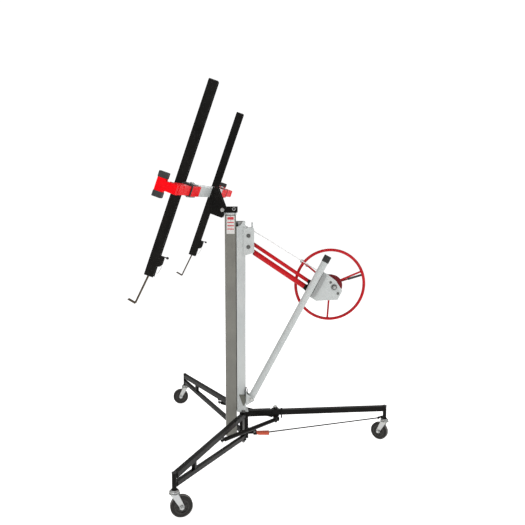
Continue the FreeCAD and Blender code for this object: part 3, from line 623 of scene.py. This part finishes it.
def dress_folding_leg(name, side):
    place = leg_place(side)
    welds = Shape()
    post_x = LEG_LENGTH - POST_HALF
    welds.weld(square_path((post_x, 0, 190.5), Y_AXIS, Z_AXIS, 12.8, 12.8), 1.8)
    welds.weld(square_path((post_x, 0, 149), Y_AXIS, (0.1, 0, 0.99), 10.8, 10.8), 1.7)
    stay_x = STAY_AT * LEG_LENGTH
    stay_low = 64 + STAY_AT * (150 - 64) + 11.5
    welds.weld(square_path((stay_x, 0, 177.5), X_AXIS, Y_AXIS, 9.6, 9.6), 1.4)
    welds.weld(square_path((stay_x, 0, stay_low), (0.99, 0, 0.1), Y_AXIS, 9.6, 9.6), 1.4)
    welds.done(name + "_leg_welds", BLACK, name + "_leg", place=place)
    post_cap(name, LEG_LENGTH, place, name + "_leg")
    stud = Shape().washer((290, 0, 168.2), -Z_AXIS, 9.5, 1.2)
    stud.stud_end((290, 0, 151), -Z_AXIS, 4, 8)
    stud.done(name + "_spreader_stud", ZINC, name + "_leg", place=place, bevel=0.2)


def dress_hub():
    bolts = Shape()
    for side in (-1, 1):
        spot = Vector((LEG_PIN.x, side * LEG_PIN.y, 0))
        bolts.washer(spot + Z_AXIS * 209.1, Z_AXIS, 12.5, 1.6)
        bolts.hex_head(spot + Z_AXIS * 210.6, Z_AXIS, 8.8, 7.4)
        bolts.lathe(spot + Z_AXIS * 47.4, -Z_AXIS, [(12, 0), (12, 1.6)], 32)
        bolts.nut(spot + Z_AXIS * 45.8, -Z_AXIS, 9.0, 8.0, 5.6, 3.0)
        bolts.lathe(spot + Z_AXIS * 44, Z_AXIS, [(6, 0), (6, 166)], 28)
    bolts.done("hub_hinge_bolts", DARK_ZINC, "base", bevel=0.3, replaces=("hub_hinge_pins",))
    welds = Shape().weld(square_path((38.5, 0, 190), Y_AXIS, Z_AXIS, 17.5, 17.5), 2.2)
    for side in (-1, 1):
        for height in (172.5, 205.0, 48.0, 77.5):
            y = side * 24.4
            for edge in (-0.6, 4.6):
                welds.weld([(-5, y, height + edge), (25, y, height + edge)], 1.5, closed=False)
    for y in (-24.2, 24.2):
        welds.weld([(-7, y, 209.5), (37, y, 209.5)], 1.6, closed=False)
    for y in (-17.4, -12.6, 12.6, 17.4):
        welds.weld([(38.4, y, 73), (38.4, y, 95)], 1.4, closed=False)
    welds.weld(square_path((REAR_POST_X - POST_HALF, 0, 190), Y_AXIS, Z_AXIS, 14.4, 14.4), 2.0)
    welds.done("hub_and_rear_leg_welds", BLACK, "base")
    post_cap("rear", REAR_POST_X, LIFT, "base")


def dress_collar():
    """The lock pin's spring and knob, the spreader pins' nuts, and the collar's lever and guide block."""
    spring = Shape().tube(helix((COLLAR_X, 0, 213.4), Z_AXIS, 7.2, 2.1, 1.0), 0.7, 8)
    spring.done("collar_spring", SPRING_STEEL, "collar")
    knob = Shape().lathe(
        (COLLAR_X, 0, 213.7), Z_AXIS,
        [(6.5, 0), (9.5, 0.8), (11.4, 3.2), (11.6, 6.5), (10.2, 9.6), (7.0, 11.4), (2.0, 12.2)], 36)
    for t in angles(10):
        knob.lathe(
            (COLLAR_X + 11.0 * cos(t), 11.0 * sin(t), 215.8), Z_AXIS,
            [(0.6, 0), (1.4, 1.2), (1.4, 5.4), (0.6, 6.6)], 10)
    knob.done("collar_knob_grip", RUBBER, "collar_pin", bevel=0.2)
    pins = Shape()
    for side in (-1, 1):
        spot = Vector((COLLAR_X, side * 26.0, 0))
        pins.washer(spot + Z_AXIS * 159.2, Z_AXIS, 8.0, 1.2)
        pins.hex_head(spot + Z_AXIS * 143.2, -Z_AXIS, 6.5, 5)
    pins.done("collar_pin_nuts", DARK_ZINC, "collar", bevel=0.3)
    lever = Shape().lathe(
        (228, -19.5, 160), Z_AXIS, [(2.6, 0), (3.6, 1), (3.6, 50), (5.6, 52), (5.6, 57), (3.0, 59)], 24)
    lever.lathe((228, -24.0, 186), Y_AXIS, [(3.0, 0), (3.0, 9)], 20)
    lever.plate(round_rectangle(9, 3.4, 1.6), (220, -18.6, 196), 1.8)
    lever.done("collar_lever", BLACK, "collar", bevel=0.3)
    block = Shape().plate([(184, 139), (214, 139), (217, 144), (217, 158), (184, 158)], (0, 13, 0), 26)
    block.lathe((200, -13.4, 148), Y_AXIS, [(6, 0), (6, 26.8)], 28)
    block.done("collar_guide_block", BLACK, "collar", bevel=0.8)


def dress_brake():
    tread = Shape()
    for k in range(5):
        x = 98 + k * 13
        tread.tube([(x, -18, 81.2), (x, 0, 81.2)], 1.1, 8)
    skirt = [(88, 81), (88, 68), (104, 64), (158, 62), (158, 81)]
    for y in (-18.2, 2.0):
        tread.plate(skirt, (0, y, 0), 1.8)
    tread.plate([(-20, 62), (2, 62), (2, 81), (-20, 81)], (156.4, 0, 0), 1.8, Y_AXIS, Z_AXIS)
    tread.done("pedal_treads", PEDAL, "pedal", bevel=0.4)
    pin = Shape()
    for side in (-1, 1):
        pin.bolt_head((PEDAL_PIN.x, side * 17.0, PEDAL_PIN.z), side * Y_AXIS, 7.0, 1.0, 5.5, 3.6)
    pin.done("pedal_pin_heads", DARK_ZINC, "base", bevel=0.2)
    spring = Shape().tube(helix((39, 0, 79), X_AXIS, 4.4, 2.4, 10.5, 16), 0.8, 8)
    spring.done("pedal_spring", SPRING_STEEL, "base")
    clevis = Shape()
    for y in (4.6, 13.8):
        clevis.plate([(70, 57), (88, 56.5), (92, 60), (92, 64), (88, 66.5), (70, 65)], (0, y, 0), 1.4)
    clevis.lathe((76, 1.6, 61), Y_AXIS, [(3.6, 0), (4.0, 0.6), (4.0, 1.6)], 22)
    clevis.lathe((76, 13.8, 61), Y_AXIS, [(4.0, 0), (4.0, 1.2), (3.4, 1.8)], 22)
    clevis.done("brake_rod_clevis", BLACK, "brake_link", bevel=0.3)
    guide = Shape()
    along = ROD_RUN.normalized()
    guide.ring(ROD_END - along * 10, along, [(4.3, -4), (6.8, -4), (6.8, 4), (4.3, 4)], 36)
    guide.plate([(800, 137), (824, 137), (824, 141), (800, 141)], (0, 3, 0), 6)
    guide.done("brake_rod_guide", BLACK, "base", bevel=0.3)


def dress_caster(name, trail):
    """One caster's races, balls, nut and axle bolt, its wheel's web and tyre ribs, and the post's ring."""
    axle = middle(name + "_caster_tyre")
    turn = radians(trail)
    back = Vector((cos(turn), sin(turn), 0))
    out = Vector((-sin(turn), cos(turn), 0))
    stem = Vector((axle.x, axle.y, 0)) - back * CASTER_TRAIL
    race = Shape().lathe(
        stem + Z_AXIS * 109.5, Z_AXIS, [(19, 0), (24.5, 0.8), (25.0, 3.5), (22.0, 6.0), (19.0, 6.6)], 44)
    race.lathe(
        stem + Z_AXIS * 118.2, Z_AXIS,
        [(18.5, 0), (22.6, 0.8), (23.0, 3.6), (20.0, 6.4), (14, 8.6), (12.5, 9.2)], 44)
    for t in angles(14):
        spot = stem + Vector((cos(t), sin(t), 0)) * 19.5 + Z_AXIS * 114.6
        race.lathe(spot, Z_AXIS, [(0.4, 0), (2.0, 0.9), (2.6, 2.3), (2.0, 3.7), (0.4, 4.6)], 12)
    race.lathe(stem + Z_AXIS * 106.2, -Z_AXIS, [(11, 0), (11, 1.4)], 30)
    race.hex_head(stem + Z_AXIS * 104.8, -Z_AXIS, 8.5, 5.0)
    race.done(name + "_caster_races", ZINC, name + "_fork", bevel=0.25)
    bolt = Shape()
    near = axle + out * 24.0
    far = axle - out * 24.0
    bolt.washer(near - out * 0.4, out, 9.5, 1.4)
    bolt.hex_head(near + out * 0.9, out, 6.5, 5.2)
    bolt.washer(far + out * 0.4, -out, 9.5, 1.4)
    bolt.nut(far - out * 0.9, -out, 6.5, 5.4, 3.9, 1.5)
    bolt.done(name + "_axle_bolt", ZINC, name + "_fork", bevel=0.25)
    web = Shape()
    for side in (-1, 1):
        face = axle + out * side * 9.2
        for t in angles(6):
            radial = back * cos(t + 0.3) + Z_AXIS * sin(t + 0.3)
            web.plate(
                [(12.5, -1.7), (27.6, -1.2), (27.6, 1.2), (12.5, 1.7)], face, -3.0, radial,
                out.cross(radial) * -side)
        web.ring(
            axle + out * side * 12.6, out * side,
            [(28.2, -0.5), (31.0, -0.5), (31.0, 1.1), (29.6, 1.8), (28.2, 1.1)], 56)
    web.done(name + "_wheel_web", WHEEL_PLASTIC, name + "_wheel", bevel=0.3)
    ribs = Shape()
    for side in (-1, 1):
        ribs.ring(
            axle + out * side * 13.4, out * side, [(39.6, -0.6), (42.4, -0.6), (42.0, 0.5), (40.0, 0.5)],
            72)
    ribs.done(name + "_tyre_rib", RUBBER, name + "_wheel", bevel=0.2)
    dust = Shape().ring(
        stem + Z_AXIS * 127.4, Z_AXIS, [(10.8, 0), (13.6, 0), (13.6, 3.0), (12.4, 4.6), (10.8, 4.6)], 40)
    body = {"left": "left_leg", "right": "right_leg", "rear": "base"}[name]
    dust.done(name + "_post_ring", BLACK, body, bevel=0.3)


# ---- mast
def dress_mast():
    bolts = Shape()
    for x, z in ((BOOM_PIVOT.x, BOOM_PIVOT.z), (41.0, 1199.0)):
        bolts.bolt_head((x, -40.9, z), -Y_AXIS, 11, 1.6, 8.2, 6.4)
        bolts.lathe((x, -42, z), Y_AXIS, [(6, 0), (6, 84)], 28)
        bolts.washer((x, 40.9, z), Y_AXIS, 11, 1.6)
        bolts.nut((x, 42.5, z), Y_AXIS, 8.2, 7.0, 5.6, 2.5)
    bolts.done("boom_bracket_bolt_set", DARK_ZINC, "base", bevel=0.3, replaces=("boom_bracket_bolts",))
    welds = Shape()
    for side in (-1, 1):
        y = side * 37.6
        welds.weld([(23.6, side * 37.4, 1104), (23.6, side * 37.4, 1240)], 1.4, closed=False)
        welds.weld([(14, y, 1242.6), (23, y, 1242.6)], 1.4, closed=False)
    welds.done("boom_bracket_welds", LIGHT_GREY, "base")
    stub = Shape().lathe((61, -38.5, 1240), Z_AXIS, [(4.4, 0), (4.4, 27), (3.4, 32), (1.0, 34)], 24)
    stub.ring((61, -38.5, 1246), Z_AXIS, [(4.2, 0), (7.4, 0.4), (7.4, 3.2), (4.2, 3.6)], 28)
    stub.done("boom_parking_stub", LIGHT_GREY, "base", bevel=0.3)
    gusset = Shape().plate(
        [(-14, 309), (23, 308), (23, 276), (14, 246), (8, 246)], (0, -MAST_HALF_Y - 0.1, 0), 3.2)
    gusset.done("strut_side_gusset", GUSSET_GREY, "base", bevel=0.5)
    foot = Shape()
    pin = STRUT_FOOT - Y_AXIS * 24.2
    foot.bolt_head(pin, -Y_AXIS, 11, 1.5, 8.2, 6)
    foot.lathe(pin, Y_AXIS, [(6, 0), (6, 49)], 28)
    foot.washer(pin + Y_AXIS * 48.4, Y_AXIS, 11, 1.5)
    foot.nut(pin + Y_AXIS * 49.9, Y_AXIS, 8.2, 6, 5.6, 1.5)
    foot.done("strut_foot_bolt", ZINC, "base", bevel=0.3, replaces=("strut_foot_pin",))
    clip = Shape().tube(
        [(18, -44, 306), (19, -44, 330), (23, -44, 350), (27, -44, 353), (31, -44, 344), (32.5, -44, 322)],
        2.4, 12)
    clip.lathe((29, -46.5, 309), Y_AXIS, [(4.0, 0), (4.0, 12)], 20)
    clip.done("strut_spring_clip", BLACK, "base")


def dress_sections():
    pads = Shape()
    for y, thick in ((-29.6, 2.2), (29.6, -2.2)):
        pads.plate(round_rectangle(9, 12, 2), (COLUMN_X, y, 1296), thick)
    pads.done("first_section_slide_pads", NYLON, "lift_one", bevel=0.3)
    rivets = Shape()
    for z in (1280, 1304, 110, 150):
        for side in (-1, 1):
            rivets.lathe(
                (COLUMN_X, side * 31.8, z), side * Y_AXIS, [(3.6, 0), (3.4, 0.8), (2.2, 1.7), (0.5, 2.1)],
                20)
    rivets.done("first_section_rivets", ZINC, "lift_one")
    face = hub_point(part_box("first_section")[0]).y - 0.3
    label = Shape().plate(round_rectangle(22, 49, 2.0), (COLUMN_X, face, 1259), 0.35)
    label.done("section_plain_label", PLAIN_LABEL, "lift_one")
    stripes = Shape().plate(round_rectangle(17, 7, 3.0), (COLUMN_X, face - 0.35, 1294), 0.35)
    for z in (1272, 1254, 1236):
        stripes.plate(round_rectangle(18, 2.6, 1.0), (COLUMN_X, face - 0.35, z), 0.35)
    stripes.done("section_label_stripes", RED_LABEL, "lift_one")
    welds = Shape().weld(square_path((COLUMN_X, 0, 1313.2), X_AXIS, Y_AXIS, 25, 27, 4), 1.5)
    welds.done("top_plate_weld", BLACK, "lift_two")
    nut = Shape().washer((COLUMN_X, 0, 1337.4), Z_AXIS, 13, 1.8)
    nut.hex_head((COLUMN_X, 0, 1339), Z_AXIS, 11, 6)
    nut.done("kingpin_nut", ZINC, "lift_two", bevel=0.3)


def dress_sheave():
    head = Shape()
    for side in (-1, 1):
        head.bolt_head(SHEAVE + Y_AXIS * side * 13.0, side * Y_AXIS, 9, 1.4, 7, 4.6)
    head.done("sheave_axle_heads", ZINC, "base", bevel=0.3)
    anchor = Shape()
    low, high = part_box("cable_drop")
    end = hub_point(low)
    spot = Vector(((end.x + hub_point(high).x) / 2, 0, end.z))
    anchor.ring(spot, Z_AXIS, [(2.8, 0), (4.6, 0), (5.0, 1), (5.0, 20), (3.4, 24), (2.8, 24)], 32)
    anchor.done("cable_swage", ZINC, "lift_one", bevel=0.2)


# ---- boom and winch
def in_wheel_plane(angle):
    """A unit direction in the plane of the handwheel."""
    return Vector((cos(angle), 0, sin(angle)))


def dress_boom():
    plate_x = hub_point(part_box("boom_end_plate")[1]).x
    welds = Shape()
    for offset, radius in BOOM_TUBES:
        path = []
        for t in angles(40):
            z = offset + radius * cos(t)
            along = (plate_x + 0.4 - BOOM_PIVOT.x - z * sin(BOOM_SLOPE)) / cos(BOOM_SLOPE)
            path.append((along, radius * sin(t), z))
        welds.weld(path, 1.2)
    welds.done("boom_root_welds", BOOM_SHADED_RED, "boom", place=BOOM)
    end_welds = Shape()
    for offset, radius in BOOM_TUBES:
        end_welds.weld(circle((BOOM_LENGTH - 0.6, 0, offset), X_AXIS, radius + 0.4), 1.8)
    end_welds.done("boom_end_welds", BLACK, "boom", place=BOOM)
    boots = Shape()
    for offset, radius in BOOM_TUBES:
        boots.lathe(
            (BOOM_LENGTH - 15, 0, offset), X_AXIS,
            [(radius + 0.1, 0), (radius + 0.7, 0.6), (radius + 0.8, 2), (radius + 0.8, 14)], 40)
    boots.done("boom_end_boots", BLACK, "boom", place=BOOM, bevel=0.3)
    collar = Shape()
    for y in (-23, 23):
        collar.ring((0, y, 0), Y_AXIS, [(12.1, -5), (13.6, -5), (14.2, 0), (13.6, 5), (12.1, 5)], 40)
    collar.done("boom_pivot_bushes", NYLON, "boom", place=BOOM, bevel=0.3)


def dress_winch():
    """Bolts, shaft boss, side flange, pawl and brake teeth of the winch, and the cable on its drum. The
    side flange is a darker grey strip laid flat on the near plate, painted shade for the bent flange, with
    black patches painted as the shade inside its slot openings.
    """
    shaft = Vector((SHAFT.x, 0, SHAFT.z))
    face = -26.0
    bolts = Shape()
    ring_at = shaft + Vector((-19, face, 27))
    bolts.ring(ring_at, -Y_AXIS, [(3.6, 0), (7.4, 0), (7.4, 1.2), (6.6, 1.8), (3.6, 1.8)], 36)
    bolts.lathe(ring_at, -Y_AXIS, [(3.4, 0), (3.4, 3.0), (2.6, 3.6)], 24)
    hex_at = shaft + Vector((23, face, -36))
    bolts.bolt_head(hex_at, -Y_AXIS, 7.6, 1.0, 5.6, 4.6)
    for x, z in ((-60, -60), (-2, -61), (-21, 24), (21, -36)):
        bolts.bolt_head(shaft + Vector((x, 34, z)), Y_AXIS, 8.0, 1.2, 6.4, 5.2)
    bolts.done("winch_housing_bolts", DARK_ZINC, "boom", bevel=0.25)
    nut = Shape().nut(shaft + Y_AXIS * -33.2, -Y_AXIS, 9.0, 6.0, 6.0, 3.0, nyloc=False)
    nut.done("winch_shaft_nut", ZINC, "winch_drum", bevel=0.3)
    boss = Shape().lathe(
        shaft + Y_AXIS * -26.4, -Y_AXIS, [(15.2, 0), (15.6, 0.5), (15.6, 5.8), (13.8, 6.8)], 40)
    boss.done("winch_shaft_boss", DARK_ZINC, "winch_drum", bevel=0.2)
    cable = Shape()
    for layer, (radius, turns) in enumerate(((29.4, 8.0), (33.4, 6.5))):
        start = shaft + Vector((0, -16.5 + layer * 2.4, 0))
        cable.tube(helix(start, Y_AXIS, radius, 4.9, turns, 40), 2.3, 8)
    cable.done("drum_winding", DROP_CABLE, "winch_drum")
    low = shaft + Vector((HOUSING_LOW[0], face, HOUSING_LOW[1]))
    high = shaft + Vector((HOUSING_HIGH[0], face, HOUSING_HIGH[1]))
    edge = (high - low).normalized()
    out = Vector((edge.z, 0, -edge.x))
    length = (high - low).length
    # A darker grey strip flat on the near plate: painted shade standing for the bent side flange.
    painted_light_band = Shape().plate(
        [(4, 1.5), (length - 5, 1.5), (length - 14, 24), (length - 60, 26), (26, 26), (8, 20)],
        low - Y_AXIS * 1.6, -1.6, edge, out)
    painted_light_band.done("winch_shaded_side_flange", SHADED_SIDE_GREY, "boom", bevel=0.5)
    # Black patches on the flange: painted shade for the dark insides of its slot openings.
    slot_shade = Shape()
    for along in (24, 73, 122):
        slot_shade.plate(
            round_rectangle(5, 2.4, 1.2), low + edge * along + out * 7 - Y_AXIS * 1.7, 0.5, edge, out)
    slot_shade.done("winch_flange_slot_shade", RUBBER, "boom")
    pawl = Shape()
    tip = shaft + Vector((-28, 45.5, 57))
    pawl.lathe(tip - Y_AXIS * 11, Y_AXIS, [(5, 0), (5, 16), (4, 17)], 24)
    pawl.plate(
        [(-9, -9), (12, -5), (34, -6), (40, -14), (42, -6), (34, 6), (0, 9), (-8, 6)], tip + Y_AXIS * 2.0,
        -4.0)
    pawl.done("brake_pawl", ZINC, "boom", bevel=0.5)
    teeth = Shape()
    for t in angles(24):
        radial = in_wheel_plane(t)
        along = in_wheel_plane(t + pi / 2)
        teeth.plate([(24, -3.4), (31.5, 2.6), (24, 3.4)], shaft + Y_AXIS * 47, 3.5, radial, along)
    teeth.lathe(shaft + Y_AXIS * 43.2, Y_AXIS, [(25, 0), (25, 5.0)], 48)
    teeth.done("brake_ratchet", ZINC, "winch_drum", bevel=0.3)


def dress_handwheel():
    centre = Vector((SHAFT.x, WHEEL_PLANE, SHAFT.z))
    welds = Shape()
    for angle in (CRANK_ANGLE, radians(266.0), radians(22.0)):
        out = in_wheel_plane(angle)
        welds.weld(circle(centre + out * (RIM_R - 8.2), out, 5.9, 36), 1.4)
        welds.weld(circle(centre + out * 22.2, out, 6.0, 36), 1.4)
    welds.weld(circle(centre - Y_AXIS * 13.3, Y_AXIS, 21.2, 48), 0.8)
    welds.done("handwheel_welds", WHEEL_RED, "winch_drum")
    nut = Shape().bolt_head(centre + Y_AXIS * 9.0, Y_AXIS, 14, 1.8, 9.5, 7)
    nut.done("handwheel_nut", ZINC, "winch_drum", bevel=0.3)
    out = in_wheel_plane(radians(16.0))
    lever = Shape()
    start = centre + out * 20 - Y_AXIS * 2
    lever.tube([start, centre + out * 70, centre + out * 110], 4.6, 14)
    lever.done("wheel_grip_rod", DARK_RED, "winch_drum")
    grip = Shape()
    profile = [(4.8, 0), (6.4, 1.2), (6.8, 4)]
    for k in range(9):
        profile += [(6.8, 8 + k * 8), (6.1, 10 + k * 8), (6.1, 11.5 + k * 8), (6.8, 13.5 + k * 8)]
    profile += [(6.8, 80), (6.0, 83), (3.0, 85)]
    grip.lathe(centre + out * 108, out, profile, 28)
    grip.done("wheel_grip_sleeve", RUBBER, "winch_drum")
    low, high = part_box("wheel_knob")
    knob_low, knob_high = hub_point(low), hub_point(high)
    foot = Vector(((knob_low.x + knob_high.x) / 2, knob_low.y, (knob_low.z + knob_high.z) / 2))
    length = knob_high.y - knob_low.y
    profile = [(4.1, 0.2), (8.5, 0.2), (10.8, 2.0), (11.6, 6.0), (10.9, 14), (10.2, 26), (10.6, 38)]
    profile += [(11.8, 48), (12.0, 54), (10.8, length - 2.6), (7.6, length - 0.4), (4.1, length - 0.4)]
    knob = Shape().ring(foot, Y_AXIS, profile, 44)
    knob.done("wheel_knob_grip", KNOB_GREY, "spinner", replaces=("wheel_knob",))
    clip_at = centre + in_wheel_plane(CRANK_ANGLE) * 176
    ring = Shape().tube(circle(clip_at - Y_AXIS * 3, Y_AXIS, 8.6, 40), 1.6, 10, closed=True)
    ring.done("wheel_clip_ring", DARK_ZINC, "winch_drum")


def dress_strut():
    direction = (STRUT_TOP - STRUT_FOOT).normalized()
    start = STRUT_TOP - direction * 38
    cap = Shape()
    profile = [(19.2, -1.0), (20.6, 0.0)]
    for k in range(6):
        z = 2.5 + k * 5
        profile += [(21.0, z), (21.0, z + 2.4), (20.1, z + 3.2), (20.1, z + 4.2)]
    profile += [(21.0, 33.5), (20.6, 36.6), (18.6, 38.0), (1.0, 38.0)]
    cap.lathe(start, direction, profile, 48)
    cap.done("strut_ribbed_cap", RUBBER, "strut", replaces=("strut_cap",))
    weld = Shape().weld(circle(STRUT_FOOT, Y_AXIS, 12.6, 40), 0.9)
    weld.done("strut_foot_weld", LIGHT_GREY, "strut")


# ---- cradle
def dress_head():
    pin = Shape()
    for side in (-1, 1):
        pin.bolt_head((HINGE_X, side * 38.0, HINGE_Z), side * Y_AXIS, 11, 1.4, 7.6, 6.0)
    pin.done("tilt_pin_heads", ZINC, "swivel", place=SADDLE, bevel=0.3)
    latch = Shape()
    spot = Vector((26, -31, 1345))
    latch.tube(helix(spot, -Y_AXIS, 6.4, 1.9, 3.6, 16), 0.7, 8)
    latch.done("tilt_latch_spring", SPRING_STEEL, "latch", place=SADDLE)
    knob = Shape().lathe(
        (26, -38, 1345), -Y_AXIS,
        [(6, 0), (9.2, 1.0), (10.4, 4), (10.2, 8), (8.4, 11.4), (4, 13.2), (0.6, 13.6)], 36)
    knob.done("tilt_latch_knob", RUBBER, "latch", place=SADDLE)
    welds = Shape()
    for side in (-1, 1):
        welds.weld([(-48, side * 22.2, 1330.4), (36, side * 22.2, 1330.4)], 1.3, closed=False)
    welds.done("saddle_welds", BLACK, "swivel", place=SADDLE)
    tilt = Shape()
    for side in (-1, 1):
        tilt.weld([(38, side * 25.8, 84), (96, side * 25.8, 84)], 1.6, closed=False)
        tilt.weld([(42, side * 31.8, 90), (90, side * 31.8, 90)], 1.4, closed=False)
        tilt.bolt_head((60, side * 31.4, 62), side * Y_AXIS, 9, 1.4, 6.4, 5)
    tilt.done("tilt_bracket_welds", BLACK, "cradle", place=CRADLE, bevel=0.2)
    rod = Shape().tube([(-30, -24, 30), (10, -24, 44), (52, -24, 72), (66, -24, 78)], 2.2, 12)
    rod.done("tilt_release_rod", ZINC, "cradle", place=CRADLE)


def dress_arm(name, side):
    """The arm's clamp on the crossbar, end plug, hook latch and hook spring."""
    y = side * ARM_Y
    sleeve = Shape()
    near, far = sorted((side * SLEEVE_INNER_Y, side * SLEEVE_OUTER_Y))
    sleeve.sleeve((BAR_A, near, BAR_N), (BAR_A, far, BAR_N), 25.9, 25.9, 0.85, X_AXIS, 4.0)
    sleeve.done(name + "_crossbar_sleeve", RED_SLEEVE, "cradle", place=CRADLE, bevel=0.2)
    clamp = Shape()
    inner = y - side * 16
    reach = inner - side * 74
    for a in (BAR_A - 26.2, BAR_A + 26.2):
        out = copysign(1.0, a - BAR_A)
        a0 = a if out > 0 else a - 4.0
        lo, hi = sorted((reach, y + side * 16))
        clamp.plate([(lo, 92), (hi, 92), (hi, 141), (lo, 141)], (a0, 0, 0), 4.0, Y_AXIS, Z_AXIS)
    lo, hi = sorted((y - 17.4, y + 17.4))
    clamp.plate(
        [(lo, BAR_A - 34), (hi, BAR_A - 34), (hi, BAR_A + 34), (lo, BAR_A + 34)], (0, 0, 141.6), 2.0,
        Y_AXIS, X_AXIS)
    clamp.done(name + "_arm_clamp", BLACK, "cradle", place=CRADLE, bevel=0.8)
    bolts = Shape()
    for a, out in ((BAR_A - 30.2, -1), (BAR_A + 30.2, 1)):
        for offset in (-side * 30, -side * 70):
            bolts.bolt_head((a, y + offset, 116), out * X_AXIS, 9, 1.4, 6.6, 5.4)
    for a in (BAR_A - 18, BAR_A + 18):
        bolts.lathe((a, y, 184.8), Z_AXIS, [(7.5, 0), (7.2, 1.0), (5.0, 2.4), (1.0, 3.0)], 28)
    bolts.done(name + "_clamp_bolts", ZINC, "cradle", place=CRADLE, bevel=0.3)
    plug = Shape().plate(round_rectangle(15.4, 21.8, 3.0), (567, y, 162.5), 3.4, Y_AXIS, Z_AXIS)
    plug.plate(round_rectangle(12.2, 18.0, 2.0), (556, y, 161.5), 11.4, Y_AXIS, Z_AXIS)
    plug.done(name + "_arm_plug", RUBBER, "cradle", place=CRADLE, bevel=0.9)
    latch = Shape()
    for offset in (side * 12, -side * 12):
        latch.plate(
            [(-318, 141), (-268, 141), (-268, 126), (-276, 120), (-306, 120), (-318, 128)],
            (0, y + offset, 0), 2.4)
    latch.lathe((-292, y - 17, 130), Y_AXIS, [(3.4, 0), (3.4, 34)], 18)
    latch.done(name + "_hook_latch_ears", BLACK, "cradle", place=CRADLE, bevel=0.5)
    knob = Shape().lathe(
        (-268, y, 133), -Z_AXIS, [(2.4, 0), (2.4, 20), (5.4, 22), (6.2, 26), (5.4, 31), (2.0, 33)], 26)
    knob.done(name + "_hook_latch_knob", RUBBER, "cradle", place=CRADLE)
    wire = Shape().tube(helix((-292, y - 10, 130), Y_AXIS, 5.4, 2.2, 9, 18), 1.0, 8)
    wire.tube([(-292, y - 10, 124.6), (-322, y - 9, 118), (-350, y - 4, 126), (-352, y, 134)], 1.0, 8)
    wire.done(name + "_hook_latch_spring", SPRING_STEEL, "cradle", place=CRADLE)
    eye = Shape()
    for end in (-1, 1):
        eye.washer((-361, y + end * 16.0, 164), end * Y_AXIS, 8.5, 1.2)
        eye.lathe(
            (-361, y + end * 17.2, 164), end * Y_AXIS, [(5.6, 0), (5.2, 1.4), (3.2, 2.6), (0.6, 3.0)], 24)
    eye.done(name + "_hook_pin_heads", BLACK, "cradle", place=CRADLE, bevel=0.2)


def dress_outrigger(name, side):
    """The weld at an outrigger's T end, and the crossbar's snap button and end collar."""
    body = name + "_tee"
    welds = Shape()
    welds.weld(square_path((BAR_A, side * TEE_Y, BAR_N), X_AXIS, Z_AXIS, 21.6, 21.6), 1.8)
    welds.done(name + "_tee_weld", RED, body, place=CRADLE)
    button = Shape().lathe(
        (BAR_A, side * 556, 140.8), Z_AXIS,
        [(6.5, 0), (6.5, 0.6), (5.0, 0.8), (5.0, 3.4), (3.8, 5.0), (0.6, 5.6)], 28)
    button.done(name + "_snap_button", ZINC, "cradle", place=CRADLE)
    collar = Shape()
    low, high = sorted((side * 578.0, side * 590.0))
    collar.sleeve((BAR_A, low, BAR_N), (BAR_A, high, BAR_N), 27.4, 27.4, 6.0, X_AXIS, 5.0)
    collar.done(name + "_crossbar_collar", RUBBER, "cradle", place=CRADLE, bevel=0.8)


# ---- stage
def stage():
    material, tree, shader = new_material("pale_floor")
    where = place_of(tree)
    tone = remap(tree, noise(tree, where, 1.5, 3.0), 0.3, 0.7, 0.0, 1.0)
    feed(shader, "Base Color", blend_colours(tree, tone, (0.90, 0.90, 0.90), (0.915, 0.915, 0.915)))
    feed(shader, "Roughness", 0.85)
    feed(shader, "Specular IOR Level", 0.0)
    feed(shader, "Emission Color", (1.0, 1.0, 1.0, 1.0))
    feed(shader, "Emission Strength", 0.74)
    mesh = bpy.data.meshes.new("studio_floor")
    half = 40.0
    mesh.from_pydata(
        [(-half, -half, 0), (half, -half, 0), (half, half, 0), (-half, half, 0)], [], [(0, 1, 2, 3)])
    mesh.materials.append(material)
    floor = bpy.data.objects.new("studio_floor", mesh)
    floor.location.z = -0.0005
    bpy.context.collection.objects.link(floor)
    world = bpy.data.worlds.new("studio_world")
    world.use_nodes = True
    sky = world.node_tree
    background = sky.nodes["Background"]
    path = add(sky, "ShaderNodeLightPath")
    tone = remap(sky, path.outputs["Is Camera Ray"], 0.0, 1.0, 0.34, 1.05)
    sky.links.new(tone, background.inputs["Strength"])
    background.inputs["Color"].default_value = (1.0, 1.0, 1.0, 1.0)
    bpy.context.scene.world = world
    bpy.context.scene.view_settings.view_transform = "Standard"
    lamps = (("key", (-2.4, -3.2, 4.4), 2.2, 118.0), ("fill", (3.2, -2.6, 2.4), 1.8, 34.0),
             ("rim", (0.8, 3.4, 3.6), 2.0, 60.0))
    for name, spot, size, power in lamps:
        lamp = bpy.data.lights.new(name, "AREA")
        lamp.size = size
        lamp.energy = power
        light = bpy.data.objects.new(name, lamp)
        light.location = spot
        aim = Vector((0, 0, 0.8)) - Vector(spot)
        light.rotation_euler = aim.to_track_quat("-Z", "Y").to_euler()
        bpy.context.collection.objects.link(light)


def camera():
    data = bpy.data.cameras.new("camera")
    data.lens = 41.46
    data.sensor_width = 36.0
    eye = bpy.data.objects.new("camera", data)
    eye.location = HUB + Vector((-198.0, -3325.0, 1395.5)) * MM
    eye.rotation_euler = (radians(90 - 5.94), 0.0, radians(-5.49))
    bpy.context.collection.objects.link(eye)
    bpy.context.scene.camera = eye


# ---- the model
finish_cad_parts()
for side_name, side_sign in (("left", 1), ("right", -1)):
    dress_folding_leg(side_name, side_sign)
dress_hub()
dress_collar()
dress_brake()
for caster_name, caster_trail in CASTERS.items():
    dress_caster(caster_name, caster_trail)
dress_mast()
dress_sections()
dress_sheave()
dress_boom()
dress_winch()
dress_handwheel()
dress_strut()
dress_head()
for arm_name, arm_sign in (("near", -1), ("far", 1)):
    dress_arm(arm_name, arm_sign)
    dress_outrigger(arm_name, arm_sign)
stage()
camera()
